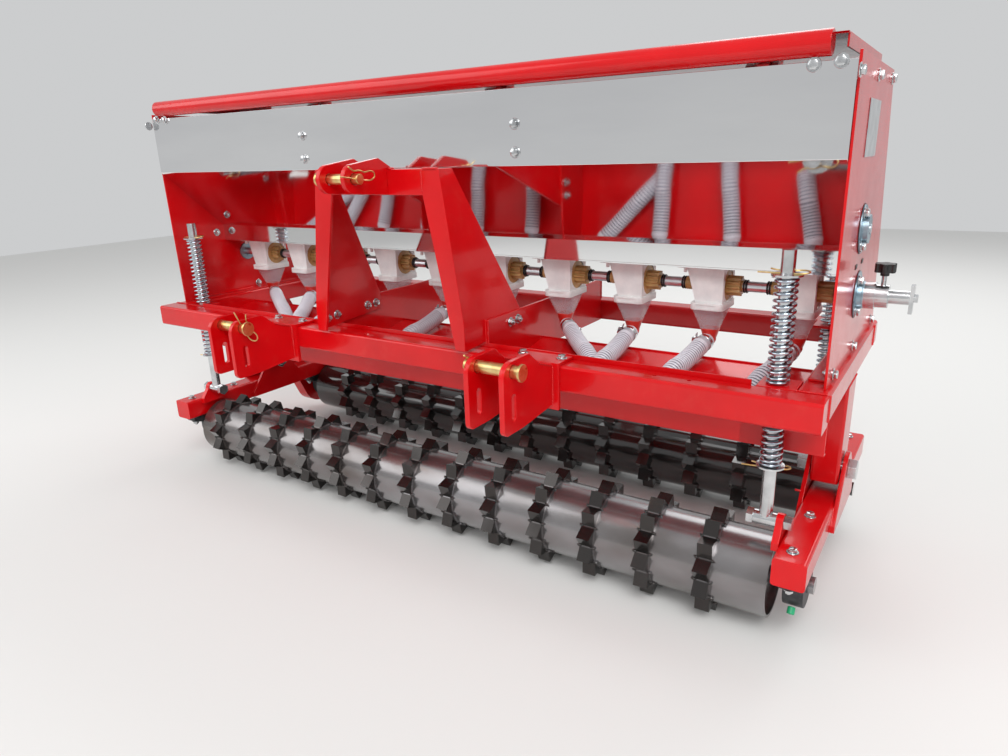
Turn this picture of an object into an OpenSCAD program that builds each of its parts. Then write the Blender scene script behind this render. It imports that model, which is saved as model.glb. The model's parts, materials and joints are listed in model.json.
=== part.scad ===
// Compact overseeder seed drill for a three-point hitch: a tube frame on two lugged rollers,
// a stainless seed hopper with ten fluted metering cups, and hoses to a seed tray.
// +X to the right seen from the hitch side, +Y rearwards, +Z up.
// The origin is the middle of the lower hitch pins' axis.

/* [Frame] */
// Width across the side tubes
frame_w = 1662; // [1400:1:2000]
// Length from the front beam's face to the rear beam's face
frame_len = 610; // [560:1:700]
// Side of the square frame tube
tube = 50; // [40:1:60]
// Wall of the frame tube
tube_wall = 4; // [3:0.5:6]
// Corner radius of the frame tube
tube_r = 6; // [4:0.5:9]
// From the lower pins' axis back to the front beam's face
hitch_reach = 137; // [120:1:160]
// From the lower pins' axis down to the front beam's top
beam_drop = 25; // [10:1:40]

/* [Rollers] */
// Diameter of a roller's drum
drum_d = 150; // [120:1:170]
// How far a drum's ends stand in from the side tubes' outer faces
drum_gap = 63; // [60:1:90]
// Number of lug rings on the front roller, one more than on the rear one
ring_count = 13; // [9:1:13]
// From the drum's left end to the first lug ring's middle
ring_first = 73; // [40:1:90]
// From the last lug ring's middle to the drum's right end
ring_last = 107; // [60:1:120]
// Width of a lug ring
ring_w = 27; // [20:1:45]
// Number of lugs on a ring
lug_count = 12; // [8:1:14]
// Height of a lug's ridge above the drum
lug_h = 22; // [18:1:28]
// Height of the valley between two lugs above the drum
valley_h = 2; // [1:1:6]
// Turn of every second lug ring, as a share of the lugs' spacing
ring_turn = 0.5; // [0:0.1:1]
// Turn of a parked roller, in degrees
park_turn = 2.4; // [0:0.1:15]
// Diameter of a roller's stub shaft
axle_d = 30; // [25:1:35]
// From the hitch pins back to the front roller's axle
front_axle_y = 237; // [225:1:245]
// Distance between the rollers' axles
axle_gap = 424; // [400:1:430]

/* [Walking arms] */
// Length of a walking arm
arm_len = 626; // [610:1:640]
// Width of a walking arm
arm_w = 54; // [52:1:60]
// Height of a walking arm
arm_h = 50; // [40:1:60]
// From the front beam's top down to the arm's top
arm_drop = 268; // [255:1:285]
// Diameter of the arm's pivot bolt
pivot_d = 24; // [20:1:30]
// Height of the pivot above the arm's top
pivot_rise = 44; // [40:1:50]
// Depth of the leg tube along Y
leg_d = 90; // [70:1:100]
// Thickness of the pivot ears
ear_t = 8; // [6:1:10]
// Height of the roller bearing's centre below the arm
bearing_h = 43; // [38:1:50]

/* [Spring rods] */
// Diameter of a spring rod
rod_d = 22; // [16:1:25]
// How far a spring rod stands in from the side tubes' outer faces
rod_in = 83; // [79:1:96]
// From the front beam's rear face back to the front rods
rod_back = 26; // [25:1:40]
// Outer diameter of a spring
spring_d = 44; // [38:1:48]
// Diameter of the spring wire
wire_d = 5; // [4:0.5:6]
// Height of an upper spring
spring_top_h = 173; // [140:1:180]
// Height of a lower spring
spring_low_h = 136; // [110:1:145]
// Spacing of the spring's turns
spring_pitch = 14; // [10:1:18]

/* [Hopper] */
// Thickness of the hopper's end plates
plate_t = 4; // [3:0.5:6]
// How far the end plates stand in from the side tubes' outer faces
plate_inset = 10; // [5:1:20]
// Sheet thickness of the hopper
sheet_t = 2.5; // [2:0.5:4]
// Height of the end plates above the hopper's front rim
plate_up = 11; // [0:1:30]
// Height of the hopper's front rim above the side tubes
rim_h = 472; // [440:1:480]
// Height of the hopper's upright front panel
panel_h = 130; // [100:1:160]
// Height of the seed trough's floor above the side tubes
floor_h = 152; // [140:1:170]
// Height of the trough's upright walls
trough_h = 42; // [30:1:60]
// From the front beam's face back to the hopper's front panel
panel_y = 60; // [52:1:70]
// From the front beam's face back to the trough's front wall
trough_y = 222; // [200:1:235]
// Width of the trough along Y
trough_d = 136; // [120:1:150]
// From the front beam's face back to the hopper's rear wall
back_y = 430; // [410:1:440]

/* [Seed metering] */
// Number of seed cups
cup_count = 10; // [6:1:10]
// From a hopper end plate to the nearest cup's middle
cup_margin = 93; // [85:1:120]
// Width of a cup's top flange
cup_w = 80; // [70:1:90]
// From the front beam's face back to the metering shaft
meter_y = 290; // [280:1:295]
// Height of the metering shaft above the side tubes
meter_h = 112; // [110:1:116]
// Diameter of the metering shaft
meter_d = 20; // [16:1:22]
// From the front beam's face back to the agitator shaft
agitator_y = 262; // [255:1:270]
// Height of the agitator shaft above the side tubes
agitator_h = 227; // [225:1:240]
// Diameter of the agitator shaft
agitator_d = 16; // [12:1:20]
// Diameter of a fluted metering roll
roll_d = 52; // [46:1:54]
// Outer diameter of a seed hose
hose_d = 34; // [30:1:38]

/* [Hidden] */
$fn = 48;

// Running fit of a shaft in its bore, and the clearance of pieces that only lie side by side
fit = 0.05;
clear = 0.3;

// Frame places
side_x = frame_w / 2;
beam_y = hitch_reach;
beam_z = -beam_drop;
tube_x = side_x - tube / 2;
rear_y = beam_y + frame_len;

// Rollers and arms
drum_r = drum_d / 2;
drum_len = frame_w - 2 * drum_gap;
ring_pitch = (drum_len - ring_first - ring_last) / (ring_count - 1);
ring_x = ring_first - drum_len / 2;
tip_r = drum_r + lug_h;
rear_axle_y = front_axle_y + axle_gap;
arm_z = beam_z - arm_drop;
axle_z = arm_z - arm_h - bearing_h;
pivot_y = front_axle_y + axle_gap / 2;
pivot_z = arm_z + pivot_rise;
arm_y0 = pivot_y - arm_len / 2;
leg_end = pivot_z - 18;
ear_x = arm_w / 2;

// Spring rods: one row is [x, y] of each rod
rod_x = side_x - rod_in;
rod_y0 = beam_y + tube + rod_back;
rod_y1 = rear_y - tube - rod_back;
RODS = [[-rod_x, rod_y0], [rod_x, rod_y0], [-rod_x, rod_y1], [rod_x, rod_y1]];
bracket_t = 6;
eye_z = arm_z + 26;
eye_d = 25;
eye_len = 38;
lug_x = tube_x - arm_w / 2;
rod_top = beam_z + 213;

// Hopper places
plate_x = side_x - plate_inset;
inner_x = plate_x - plate_t;
plate_h = rim_h + plate_up;
bend_h = rim_h - panel_h;
cup_pitch = 2 * (inner_x - cup_margin) / (cup_count - 1);
meter_z = beam_z + meter_h;
agit_z = beam_z + agitator_h;
my = beam_y + meter_y;
ay = beam_y + agitator_y;
floor_z = beam_z + floor_h;
function cup_x(k) = (k - (cup_count - 1) / 2) * cup_pitch;

// Shared shapes

module rounded(w, h, r) {
    translate([-w / 2 + r, -h / 2]) square([w - 2 * r, h]);
    translate([-w / 2, -h / 2 + r]) square([w, h - 2 * r]);
    for (sx = [-1, 1], sy = [-1, 1])
        translate([sx * (w / 2 - r), sy * (h / 2 - r)]) circle(r);
}

// A square tube along X, centred on y = z = 0
module tube_x_run(len, w, h) {
    rotate([90, 0, 90]) linear_extrude(len, center = true) difference() {
        rounded(w, h, tube_r);
        rounded(w - 2 * tube_wall, h - 2 * tube_wall, tube_r - tube_wall + 1);
    }
}

// A tube along Y from y = 0 to y = len, centred on x = z = 0, with welded end caps
module tube_y_run(len, w, h) {
    rotate([-90, 0, 0]) {
        linear_extrude(len) difference() {
            rounded(w, h, tube_r);
            rounded(w - 2 * tube_wall, h - 2 * tube_wall, tube_r - tube_wall + 1);
        }
        for (y = [0, len - tube_wall])
            translate([0, 0, y]) linear_extrude(tube_wall) rounded(w - 1, h - 1, tube_r);
    }
}

module x_cyl(r, x0, x1) {
    translate([x0, 0, 0]) rotate([0, 90, 0]) cylinder(r = r, h = x1 - x0);
}

// A plate outline given in [y, z], t thick, from x = x0
module yz_plate(x0, t) {
    translate([x0, 0, 0]) rotate([90, 0, 90]) linear_extrude(t) children();
}

// Frame

module front_beam() color("red") {
    translate([0, beam_y + tube / 2, beam_z - tube / 2]) {
        difference() {
            tube_x_run(frame_w, tube, tube);
            for (x = [-620, -560, 560, 620]) translate([x, 0, 0]) cylinder(d = 7, h = tube);
        }
        for (s = [-1, 1]) translate([s * (side_x - tube_wall / 2), 0, 0])
            rotate([90, 0, 90]) linear_extrude(tube_wall, center = true)
                rounded(tube - 1, tube - 1, tube_r);
    }
}

module side_tube(s) color("red")
    translate([s * tube_x, beam_y + tube, beam_z - tube / 2]) tube_y_run(frame_len - tube, tube, tube);
module side_tube_left() side_tube(-1);
module side_tube_right() side_tube(1);

module rear_beam() color("red")
    translate([0, rear_y - tube / 2, beam_z - tube / 2]) tube_x_run(frame_w - 2 * tube, tube, tube);

// An outline in [y, z] extruded from -half to half along X
module yz_run(half, points) {
    yz_plate(-half, 2 * half) polygon(points);
}

// Rails from beam to beam that carry the mast: their inner faces, thickness and top
rail_x = 199;
rail_t = 6;
rail_top = beam_z + 54;

module rail(s) color("red")
    yz_plate(s > 0 ? rail_x : -rail_x - rail_t, rail_t)
        polygon([[beam_y + tube, beam_z - tube], [rear_y - tube, beam_z - tube],
                 [rear_y - tube, rail_top], [beam_y + tube, rail_top]]);
module rail_left() rail(-1);
module rail_right() rail(1);

// Seed tray: an upright apron behind the front beam, and a floor that slopes down to its slots.
// One row of SLOTS is a slot's left end and right end
apron_t = 3;
apron_up = 8;
apron_down = 100;
tray_half = side_x - tube;
apron_half = side_x - 17;
tray_d = 215;
tray_lip = 6;
slot_w = 24;
slot_margin = 81;
SLOTS = [[slot_margin - tray_half, -230], [-180, 180], [230, tray_half - slot_margin]];
floor_low = -64;
floor_rear = -32;

module seed_tray() color("firebrick") {
    translate([0, beam_y + tube, beam_z]) difference() {
        union() {
            yz_run(tray_half, [[0, -tube - 4], [0, apron_up], [apron_t, apron_up], [apron_t, -tube - 4]]);
            yz_run(apron_half, [[0, -apron_down + 4], [0, -tube - clear], [apron_t, -tube - clear],
                [apron_t, -apron_down], [-9, -apron_down - 10], [-9, -apron_down - 7]]);
            yz_run(tray_half, [[1, floor_low - apron_t], [1, floor_low], [slot_w, floor_low],
                [tray_d - apron_t, floor_rear + apron_t], [tray_d - apron_t, floor_rear + tray_lip],
                [tray_d, floor_rear + tray_lip], [tray_d, floor_rear], [slot_w, floor_low - apron_t]]);
            for (s = [-1, 1]) translate([s * (tray_half - 1.5), 0, 0]) yz_plate(-1.5, 3)
                polygon([[1, floor_low - 1], [1, -5], [tray_d - 1, floor_rear + tray_lip],
                         [tray_d - 1, floor_rear + 1], [slot_w, floor_low - 1]]);
        }
        for (s = [-1, 1]) translate([s * (rail_x + rail_t / 2), 0, 0])
            cube([rail_t, 2 * rear_y, 2 * tube], center = true);
        for (s = [-1, 1]) translate([s * rod_x, 0, 0]) {
            translate([-35, apron_t, -100]) cube([70, 70, 200]);
            translate([-35, -1, -bracket_t - 1]) cube([70, 20, 50]);
        }
        for (p = SLOTS) translate([p[0], apron_t + 1, floor_low - 10]) cube([p[1] - p[0], slot_w - 6, 20]);
    }
}

// Mast: a front strip and a web on each side, bolted inside the rails.
// strip_in and strip_out are the strip's edges at its foot and at its top
mast_y = beam_y - 20;
strip_t = 8;
web_t = 6;
mast_h = 336;
mast_z = beam_z + 6;
cross_h = 47;
cross_d = 50;
strip_in = [176, 118];
strip_out = [rail_x, 158];
web_foot = 190;
web_bend = 50;
web_top = 33;

module mast(s) color("red") mirror([s > 0 ? 0 : 1, 0, 0]) {
    y0 = mast_y + strip_t;
    lean = (strip_out[0] - strip_out[1]) / (mast_h - web_bend);
    translate([0, y0, mast_z]) rotate([90, 0, 0]) linear_extrude(strip_t)
        polygon([[strip_in[0], 0], [strip_out[0], 0], [strip_out[0], web_bend], [strip_out[1], mast_h],
                 [strip_in[1], mast_h], [strip_in[1], mast_h - cross_h]]);
    translate([0, 0, mast_z]) yz_plate(strip_out[0] - web_t, web_t)
        polygon([[y0, 0], [y0 + web_foot, 12], [y0 + web_foot, web_bend], [y0, web_bend]]);
    translate([0, 0, mast_z + web_bend]) multmatrix([[1, 0, -lean, 0], [0, 1, 0, 0], [0, 0, 1, 0]])
        yz_plate(strip_out[0] - web_t, web_t)
            polygon([[y0, 0], [y0 + web_foot, 0], [y0 + web_top, mast_h - web_bend], [y0, mast_h - web_bend]]);
}
module mast_left() mast(-1);
module mast_right() mast(1);

module mast_crossbar() color("red")
    translate([0, mast_y, mast_z + mast_h - cross_h]) difference() {
        translate([-strip_in[1], 0, 0]) cube([2 * strip_in[1], cross_d, cross_h]);
        translate([-strip_in[1] - 1, strip_t, strip_t]) cube([2 * strip_in[1] + 2, cross_d, cross_h - 2 * strip_t]);
    }

// Top link clevis on the crossbar
top_pin_y = 30;
top_pin_z = 303;
top_pin_d = 19;
top_gap = 52;
top_plate_t = 10;
clevis_r = 26;

module top_clevis() color("red") {
    top = mast_z + mast_h;
    for (s = [-1, 1]) difference() {
        union() {
            yz_plate(s * (top_gap + top_plate_t) / 2 - top_plate_t / 2, top_plate_t)
                polygon([[top_pin_y, top_pin_z - clevis_r], [mast_y, top - cross_h], [mast_y, top],
                         [mast_y + 20, top], [mast_y - 20, top + 21], [top_pin_y - 6, top_pin_z + clevis_r - 0.7]]);
            translate([s * (top_gap + top_plate_t) / 2, top_pin_y, top_pin_z])
                x_cyl(clevis_r, -top_plate_t / 2, top_plate_t / 2);
        }
        translate([0, top_pin_y, top_pin_z]) x_cyl(top_pin_d / 2 + 0.5, -side_x, side_x);
    }
}

// Lower hitch brackets: two slotted plates each, on a base plate bent over the beam
hitch_x = 341.5;
hitch_gap = 60;
hitch_plate_t = 10;
low_pin_d = 22;
hitch_front = 30;
hitch_r = 27;
hitch_top = 18;
hitch_low = -107;
base_low = -98;
base_t = 8;
flap_t = 6;
flap_in = 17;
slot_r = 6;
SLOT_Z = [-45, -80];

module hitch_bracket(s) color("red") translate([s * hitch_x, 0, 0]) {
    y1 = beam_y - base_t;
    px = (hitch_gap + hitch_plate_t) / 2;
    low_r = 12;
    for (side = [-1, 1]) translate([side * px, 0, 0]) difference() {
        union() {
            yz_plate(-hitch_plate_t / 2, hitch_plate_t)
                polygon([[-hitch_front, hitch_top - hitch_r], [-hitch_front, hitch_low + low_r],
                         [low_r - hitch_front, hitch_low], [30, hitch_low], [y1, base_low], [y1, beam_z + 2],
                         [82, -5], [53, hitch_top], [hitch_r - hitch_front, hitch_top]]);
            for (p = [[hitch_r, hitch_top - hitch_r], [low_r, hitch_low + low_r]])
                translate([0, p[0] - hitch_front, p[1]]) x_cyl(p[0], -hitch_plate_t / 2, hitch_plate_t / 2);
        }
        x_cyl(low_pin_d / 2 + 0.5, -hitch_plate_t, hitch_plate_t);
        for (z = SLOT_Z) translate([0, 0, z]) x_cyl(slot_r, -hitch_plate_t, hitch_plate_t);
        translate([-hitch_plate_t, -slot_r, SLOT_Z[1]]) cube([2 * hitch_plate_t, 2 * slot_r, SLOT_Z[0] - SLOT_Z[1]]);
    }
    translate([-px - flap_in, y1, hitch_low]) cube([2 * (px + flap_in), base_t, beam_z + flap_t - hitch_low]);
    translate([-px - flap_in, beam_y, beam_z]) cube([2 * (px + flap_in), tube, flap_t]);
}
module hitch_bracket_left() hitch_bracket(-1);
module hitch_bracket_right() hitch_bracket(1);

module headed_pin(d, half, head_d) {
    x_cyl(d / 2, -half, half);
    x_cyl(head_d / 2, half, half + 5);
}

module hitch_pins() color("gold") {
    for (s = [-1, 1]) translate([s * hitch_x, 0, 0]) headed_pin(low_pin_d, hitch_gap / 2 + 24, 30);
    translate([0, top_pin_y, top_pin_z]) mirror([1, 0, 0]) headed_pin(top_pin_d, top_gap / 2 + 24, 27);
}

// Legs, walking arms, pivots and bearings

module leg(s) color("red")
    translate([s * tube_x, pivot_y, 0]) difference() {
        translate([0, 0, leg_end]) linear_extrude(beam_z - tube - leg_end) difference() {
            rounded(tube, leg_d, tube_r);
            rounded(tube - 2 * tube_wall, leg_d - 2 * tube_wall, tube_r - tube_wall + 1);
        }
        translate([0, 0, pivot_z]) x_cyl(pivot_d / 2 + fit, -tube, tube);
    }
module leg_left() leg(-1);
module leg_right() leg(1);

// Pivot ears and the spring rods' lugs on an arm
ear_r = 32;
ear_foot = 100;
lug_t = 12;
lug_r = 15;
lug_foot = 34;
lug_z = axle_z + drum_r + 5;
eye_bolt_d = 16;

module arm(s) color("red") mirror([s > 0 ? 0 : 1, 0, 0]) translate([tube_x, 0, 0]) {
    translate([0, arm_y0, arm_z - arm_h / 2]) tube_y_run(arm_len, arm_w, arm_h);
    for (side = [-1, 1]) difference() {
        translate([side * (ear_x + ear_t / 2), 0, 0]) {
            yz_plate(-ear_t / 2, ear_t)
                polygon([[pivot_y - ear_foot, arm_z - arm_h + 4], [pivot_y + ear_foot, arm_z - arm_h + 4],
                         [pivot_y + ear_foot, arm_z - arm_h + 18], [pivot_y + 24, pivot_z + 21.1],
                         [pivot_y - 24, pivot_z + 21.1], [pivot_y - ear_foot, arm_z - arm_h + 18]]);
            translate([0, pivot_y, pivot_z]) x_cyl(ear_r, -ear_t / 2, ear_t / 2);
        }
        translate([0, pivot_y, pivot_z]) x_cyl(pivot_d / 2 + fit, -tube, tube);
    }
    for (y = [rod_y0, rod_y1]) difference() {
        translate([-arm_w / 2, y, 0]) {
            yz_plate(-lug_t, lug_t) polygon([[-lug_foot, lug_z], [lug_foot, lug_z], [lug_foot, lug_z + 14],
                [lug_r, eye_z], [-lug_r, eye_z], [-lug_foot, lug_z + 14]]);
            translate([0, 0, eye_z]) x_cyl(lug_r, -lug_t, 0);
        }
        translate([0, y, eye_z]) x_cyl(eye_bolt_d / 2 + fit, -tube, -arm_w / 2 + 1);
    }
}
module arm_left() arm(-1);
module arm_right() arm(1);

module pivot_bolts() color("silver")
    for (s = [-1, 1]) mirror([s > 0 ? 0 : 1, 0, 0]) translate([tube_x, pivot_y, pivot_z]) {
        x_cyl(pivot_d / 2, -ear_x - ear_t - 20, ear_x + ear_t);
        translate([ear_x + ear_t, 0, 0]) rotate([0, 90, 0]) cylinder(d = 40, h = 15, $fn = 6);
        translate([-ear_x - ear_t - 18, 0, 0]) rotate([0, 90, 0]) cylinder(d = 40, h = 18, $fn = 6);
    }

block_w = 34;
block_len = 164;
block_r = 42;

module bearing_blocks() color("dimgray")
    for (s = [-1, 1], y = [front_axle_y, rear_axle_y])
        translate([s * tube_x, y, axle_z]) difference() {
            union() {
                x_cyl(block_r, -block_w / 2, block_w / 2);
                yz_plate(-block_w / 2, block_w)
                    polygon([[-block_len / 2, bearing_h], [-block_len / 2, bearing_h - 14], [-block_r, bearing_h - 26],
                             [-block_r, 0], [block_r, 0], [block_r, bearing_h - 26],
                             [block_len / 2, bearing_h - 14], [block_len / 2, bearing_h]]);
            }
            x_cyl(axle_d / 2 + fit, -tube, tube);
        }

// Spring rods between the frame and the arms

module rod_brackets() color("red")
    for (p = RODS) {
        x_in = rod_x - 28;
        front = p[1] < pivot_y;
        y0 = front ? beam_y + tube : p[1] - 30;
        y1 = front ? p[1] + 30 : rear_y - tube;
        mirror([p[0] > 0 ? 0 : 1, 0, 0]) difference() {
            translate([x_in, y0, beam_z - bracket_t]) cube([side_x - tube - x_in, y1 - y0, bracket_t]);
            translate([rod_x, p[1], beam_z - 2 * bracket_t]) cylinder(r = rod_d / 2 + clear, h = 3 * bracket_t);
        }
    }

module spring_rods() color("silver")
    for (p = RODS) {
        translate([p[0], p[1], eye_z]) cylinder(d = rod_d, h = rod_top - eye_z);
        translate([p[0], p[1], beam_z + spring_top_h]) cylinder(d = spring_d + 4, h = 3);
        translate([p[0], p[1], beam_z - bracket_t - spring_low_h - 3]) cylinder(d = spring_d + 2, h = 3);
        mirror([p[0] > 0 ? 0 : 1, 0, 0]) translate([lug_x - lug_t, p[1], eye_z]) {
            x_cyl(eye_d / 2, -eye_len, 0);
            x_cyl(eye_bolt_d / 2, 0, lug_t + 8);
            translate([-eye_len - 11, 0, 0]) rotate([0, 90, 0]) cylinder(d = 30, h = 11, $fn = 6);
            translate([lug_t, 0, 0]) rotate([0, 90, 0]) cylinder(d = 26, h = 13, $fn = 6);
        }
    }

// A coil spring as a thin sleeve with one round bead for each turn
module spring(h) {
    n = floor((h - wire_d) / spring_pitch);
    step = (h - wire_d) / n;
    rotate_extrude() {
        translate([rod_d / 2 + clear, 0]) square([2, h]);
        for (k = [0:n]) translate([spring_d / 2 - wire_d / 2, wire_d / 2 + k * step]) circle(wire_d / 2);
        for (k = [0:n]) translate([rod_d / 2 + 1, k * step + 1]) square([spring_d / 2 - rod_d / 2 - 3, wire_d - 2]);
    }
}

module upper_springs() color("silver")
    for (p = RODS) translate([p[0], p[1], beam_z]) spring(spring_top_h);
module lower_springs() color("silver")
    for (p = RODS) translate([p[0], p[1], beam_z - bracket_t - spring_low_h]) spring(spring_low_h);

// Hopper

// The hopper's section in [y, z]: the outer side when in = 0, the inner side when in = sheet_t
module hopper_section(in) {
    y0 = beam_y + panel_y;
    y1 = beam_y + trough_y;
    y2 = y1 + trough_d;
    y3 = beam_y + back_y;
    k = in * 0.45;
    polygon([[y0 + in, beam_z + rim_h + in * 4], [y0 + in, beam_z + bend_h + k], [y1 + in, floor_z + trough_h + k],
             [y1 + in, floor_z + in], [y2 - in, floor_z + in], [y2 - in, floor_z + trough_h + k],
             [y3 - in, beam_z + bend_h + k], [y3 - in, beam_z + rim_h + in * 4]]);
}

// An outlet's size along X and Y
outlet = [34, 60];

// The part of the hopper's sheet between y0 and y1, above z0
module hopper_sheet(y0, y1, z0) {
    yz_plate(-inner_x, 2 * inner_x) intersection() {
        difference() {
            hopper_section(0);
            hopper_section(sheet_t);
        }
        translate([y0, z0]) square([y1 - y0, rim_h]);
    }
}

module hopper_front() color("lightgray") hopper_sheet(beam_y, my, floor_z + sheet_t);
module hopper_back() color("lightgray") hopper_sheet(my, rear_y, floor_z + sheet_t);

// The trough's floor: a strip in front of the outlets, one behind them, and the webs between them
module floor_strip(y0, y1) color("lightgray")
    translate([-inner_x, y0, floor_z]) cube([2 * inner_x, y1 - y0, sheet_t]);
module floor_front() floor_strip(beam_y + trough_y, my - outlet[1] / 2);
module floor_back() floor_strip(my + outlet[1] / 2, beam_y + trough_y + trough_d);

module floor_webs() color("lightgray")
    for (k = [0:cup_count]) {
        x0 = k == 0 ? -inner_x : cup_x(k - 1) + outlet[0] / 2;
        x1 = k == cup_count ? inner_x : cup_x(k) - outlet[0] / 2;
        translate([x0, my - outlet[1] / 2, floor_z]) cube([x1 - x0, outlet[1], sheet_t]);
    }

// One row is [y, z, diameter] of each shaft through the end plates
SHAFTS = [[my, meter_z, meter_d], [ay, agit_z, agitator_d]];
housing_r = 24;

module end_plate(s) color("red") mirror([s > 0 ? 0 : 1, 0, 0]) {
    difference() {
        yz_plate(inner_x, plate_t)
            polygon([[beam_y + 70, beam_z], [rear_y - 3, beam_z], [beam_y + 438, beam_z + plate_h],
                     [beam_y + 62, beam_z + plate_h]]);
        for (p = SHAFTS) translate([0, p[0], p[1]]) x_cyl(housing_r, 0, side_x);
    }
    translate([inner_x - 30, beam_y + 110, beam_z]) cube([30, frame_len - 200, plate_t]);
}
module end_plate_left() end_plate(-1);
module end_plate_right() end_plate(1);

module blank_plate() color("gray")
    yz_plate(plate_x, 1.5)
        translate([beam_y + 182, beam_z + plate_h - 141]) square([118, 85]);

// Seed cups under the trough, each with a fluted roll on the metering shaft
roll_len = 34;
roll_x = 16;
cup_gap = 5;
neck_z = meter_z - 44;

module seed_cups() color("white")
    for (k = [0:cup_count - 1]) translate([cup_x(k), my, 0]) difference() {
        union() {
            translate([-cup_w / 2, -50, floor_z - 4]) cube([cup_w, 100, 4]);
            translate([0, 36, 0]) rotate([90, 0, 0]) linear_extrude(72)
                polygon([[-34, floor_z - 4], [-12, neck_z + 6], [-12, neck_z], [roll_x + roll_len / 2 + 4, neck_z],
                         [roll_x + roll_len / 2 + 4, floor_z - 4]]);
        }
        translate([0, 0, meter_z]) x_cyl(roll_d / 2 + cup_gap, roll_x - roll_len / 2 - cup_gap, cup_w);
        translate([0, 0, meter_z]) x_cyl(meter_d / 2 + 1, -cup_w, cup_w);
        translate([0, 0, floor_z]) cube([outlet[0], outlet[1] - 8, 60], center = true);
        translate([0, 0, neck_z]) cube([16, 30, 60], center = true);
    }

// Four-sided funnels: half the width inside at the foot and at the top, and the wall
funnel_h = 42;
funnel_low = 17;
funnel_top = 29;
funnel_t = 1.5;
funnel_lip = 5;

// A square cone from half a at z = 0 to half b at z = h
module square_cone(a, b, h) {
    rotate(45) cylinder(r1 = a * sqrt(2), r2 = b * sqrt(2), h = h, $fn = 4);
}

module seed_funnels() color("lightblue", 0.6)
    for (k = [0:cup_count - 1]) translate([cup_x(k) + 6, my, neck_z - funnel_h]) {
        h = funnel_h - funnel_lip;
        slope = (funnel_top - funnel_low) / h;
        out = funnel_top + funnel_t;
        difference() {
            square_cone(funnel_low + funnel_t, out, h);
            translate([0, 0, -1]) square_cone(funnel_low - slope, funnel_top + slope, h + 2);
        }
        translate([0, 0, h]) difference() {
            translate([-out, -out, 0]) cube([2 * out, 2 * out, funnel_lip]);
            translate([-funnel_top, -funnel_top, -1]) cube([2 * funnel_top, 2 * funnel_top, funnel_lip + 2]);
        }
    }

// Hoses: one row is how far each one runs along X and towards the front
HOSES = [[150, 95], [110, 150], [30, 150], [0, 150], [0, 150],
         [0, 150], [115, 120], [0, 150], [-20, 150], [-45, 140]];
hose_fall = 26;
spout_z = neck_z - funnel_h;

function hose_top(k) = [cup_x(k) + 6, my, spout_z - 22];
function hose_dir(k) = [HOSES[k][0], -HOSES[k][1], -hose_fall];

// Children drawn along z are laid along a hose
module along_hose(k) {
    d = hose_dir(k);
    translate(hose_top(k)) rotate([0, acos(d[2] / norm(d)), atan2(d[1], d[0])]) children();
}

// A funnel's red cone, with a ball and a spigot that carries the hose
spout_r = 14;
spigot_len = 36;
hose_start = 19;

module seed_spouts() color("red") {
    $fn = 24;
    for (k = [0:cup_count - 1]) difference() {
        union() {
            translate(hose_top(k)) cylinder(r1 = spout_r, r2 = funnel_low + 2, h = spout_z - hose_top(k)[2]);
            translate(hose_top(k)) sphere(spout_r + 2);
            along_hose(k) {
                cylinder(r = hose_d / 2 - 3 - fit, h = spigot_len);
                translate([0, 0, hose_start - 4]) cylinder(r = hose_d / 2, h = 4);
            }
        }
        translate(hose_top(k)) cylinder(r = spout_r - 4, h = 40);
        along_hose(k) cylinder(r = spout_r - 5, h = spigot_len + 1);
    }
}

module seed_hoses() color("white", 0.7)
    for (k = [0:cup_count - 1]) along_hose(k) difference() {
        translate([0, 0, hose_start]) cylinder(d = hose_d, h = norm(hose_dir(k)) - hose_start);
        cylinder(d = hose_d - 6, h = 2 * norm(hose_dir(k)));
    }

module hose_clamps() color("silver")
    for (k = [0:cup_count - 1]) along_hose(k) translate([0, 0, hose_start + 5]) difference() {
        cylinder(d = hose_d + 3, h = 9);
        translate([0, 0, -1]) cylinder(d = hose_d, h = 11);
    }

// Shaft bearings on the end plates, and the seed rate adjuster on the right
flange_r = 40;

module shaft_bearings() color("lightsteelblue")
    for (s = [-1, 1], p = SHAFTS) mirror([s > 0 ? 0 : 1, 0, 0]) translate([plate_x, p[0], p[1]]) difference() {
        union() {
            x_cyl(flange_r, 0, 3);
            x_cyl(housing_r, -plate_t - 4, 12);
            for (a = [30, 150, 270]) rotate([a, 0, 0]) translate([0, 0, 31]) x_cyl(5, 3, 8);
        }
        x_cyl(p[2] / 2 + fit, -tube, tube);
    }

adjust_x = plate_x + 12;
sleeve_len = 70;

module rate_adjuster() color("lightsteelblue")
    translate([adjust_x, my, meter_z]) {
        x_cyl(23, 0, 18);
        x_cyl(20, 18, 38);
        x_cyl(12, 38, sleeve_len);
        translate([sleeve_len, -9, -26]) cube([6, 18, 48]);
        translate([sleeve_len + 6, 0, 0]) rotate([0, 90, 0]) cylinder(d = 14, h = 6, $fn = 6);
        translate([28, 0, 19]) cylinder(d = 8, h = 16);
    }

module rate_knob() color("black")
    translate([adjust_x + 28, my, meter_z + 35]) {
        cylinder(d = 14, h = 6);
        translate([0, 0, 6]) difference() {
            cylinder(d = 34, h = 15);
            for (a = [0:60:300]) rotate(a) translate([20, 0, -1]) cylinder(d = 13, h = 17);
        }
    }

// Chain case of the ground drive, on the left
case_t = 40;
case_r = 52;
case_x = side_x + 5;

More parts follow.
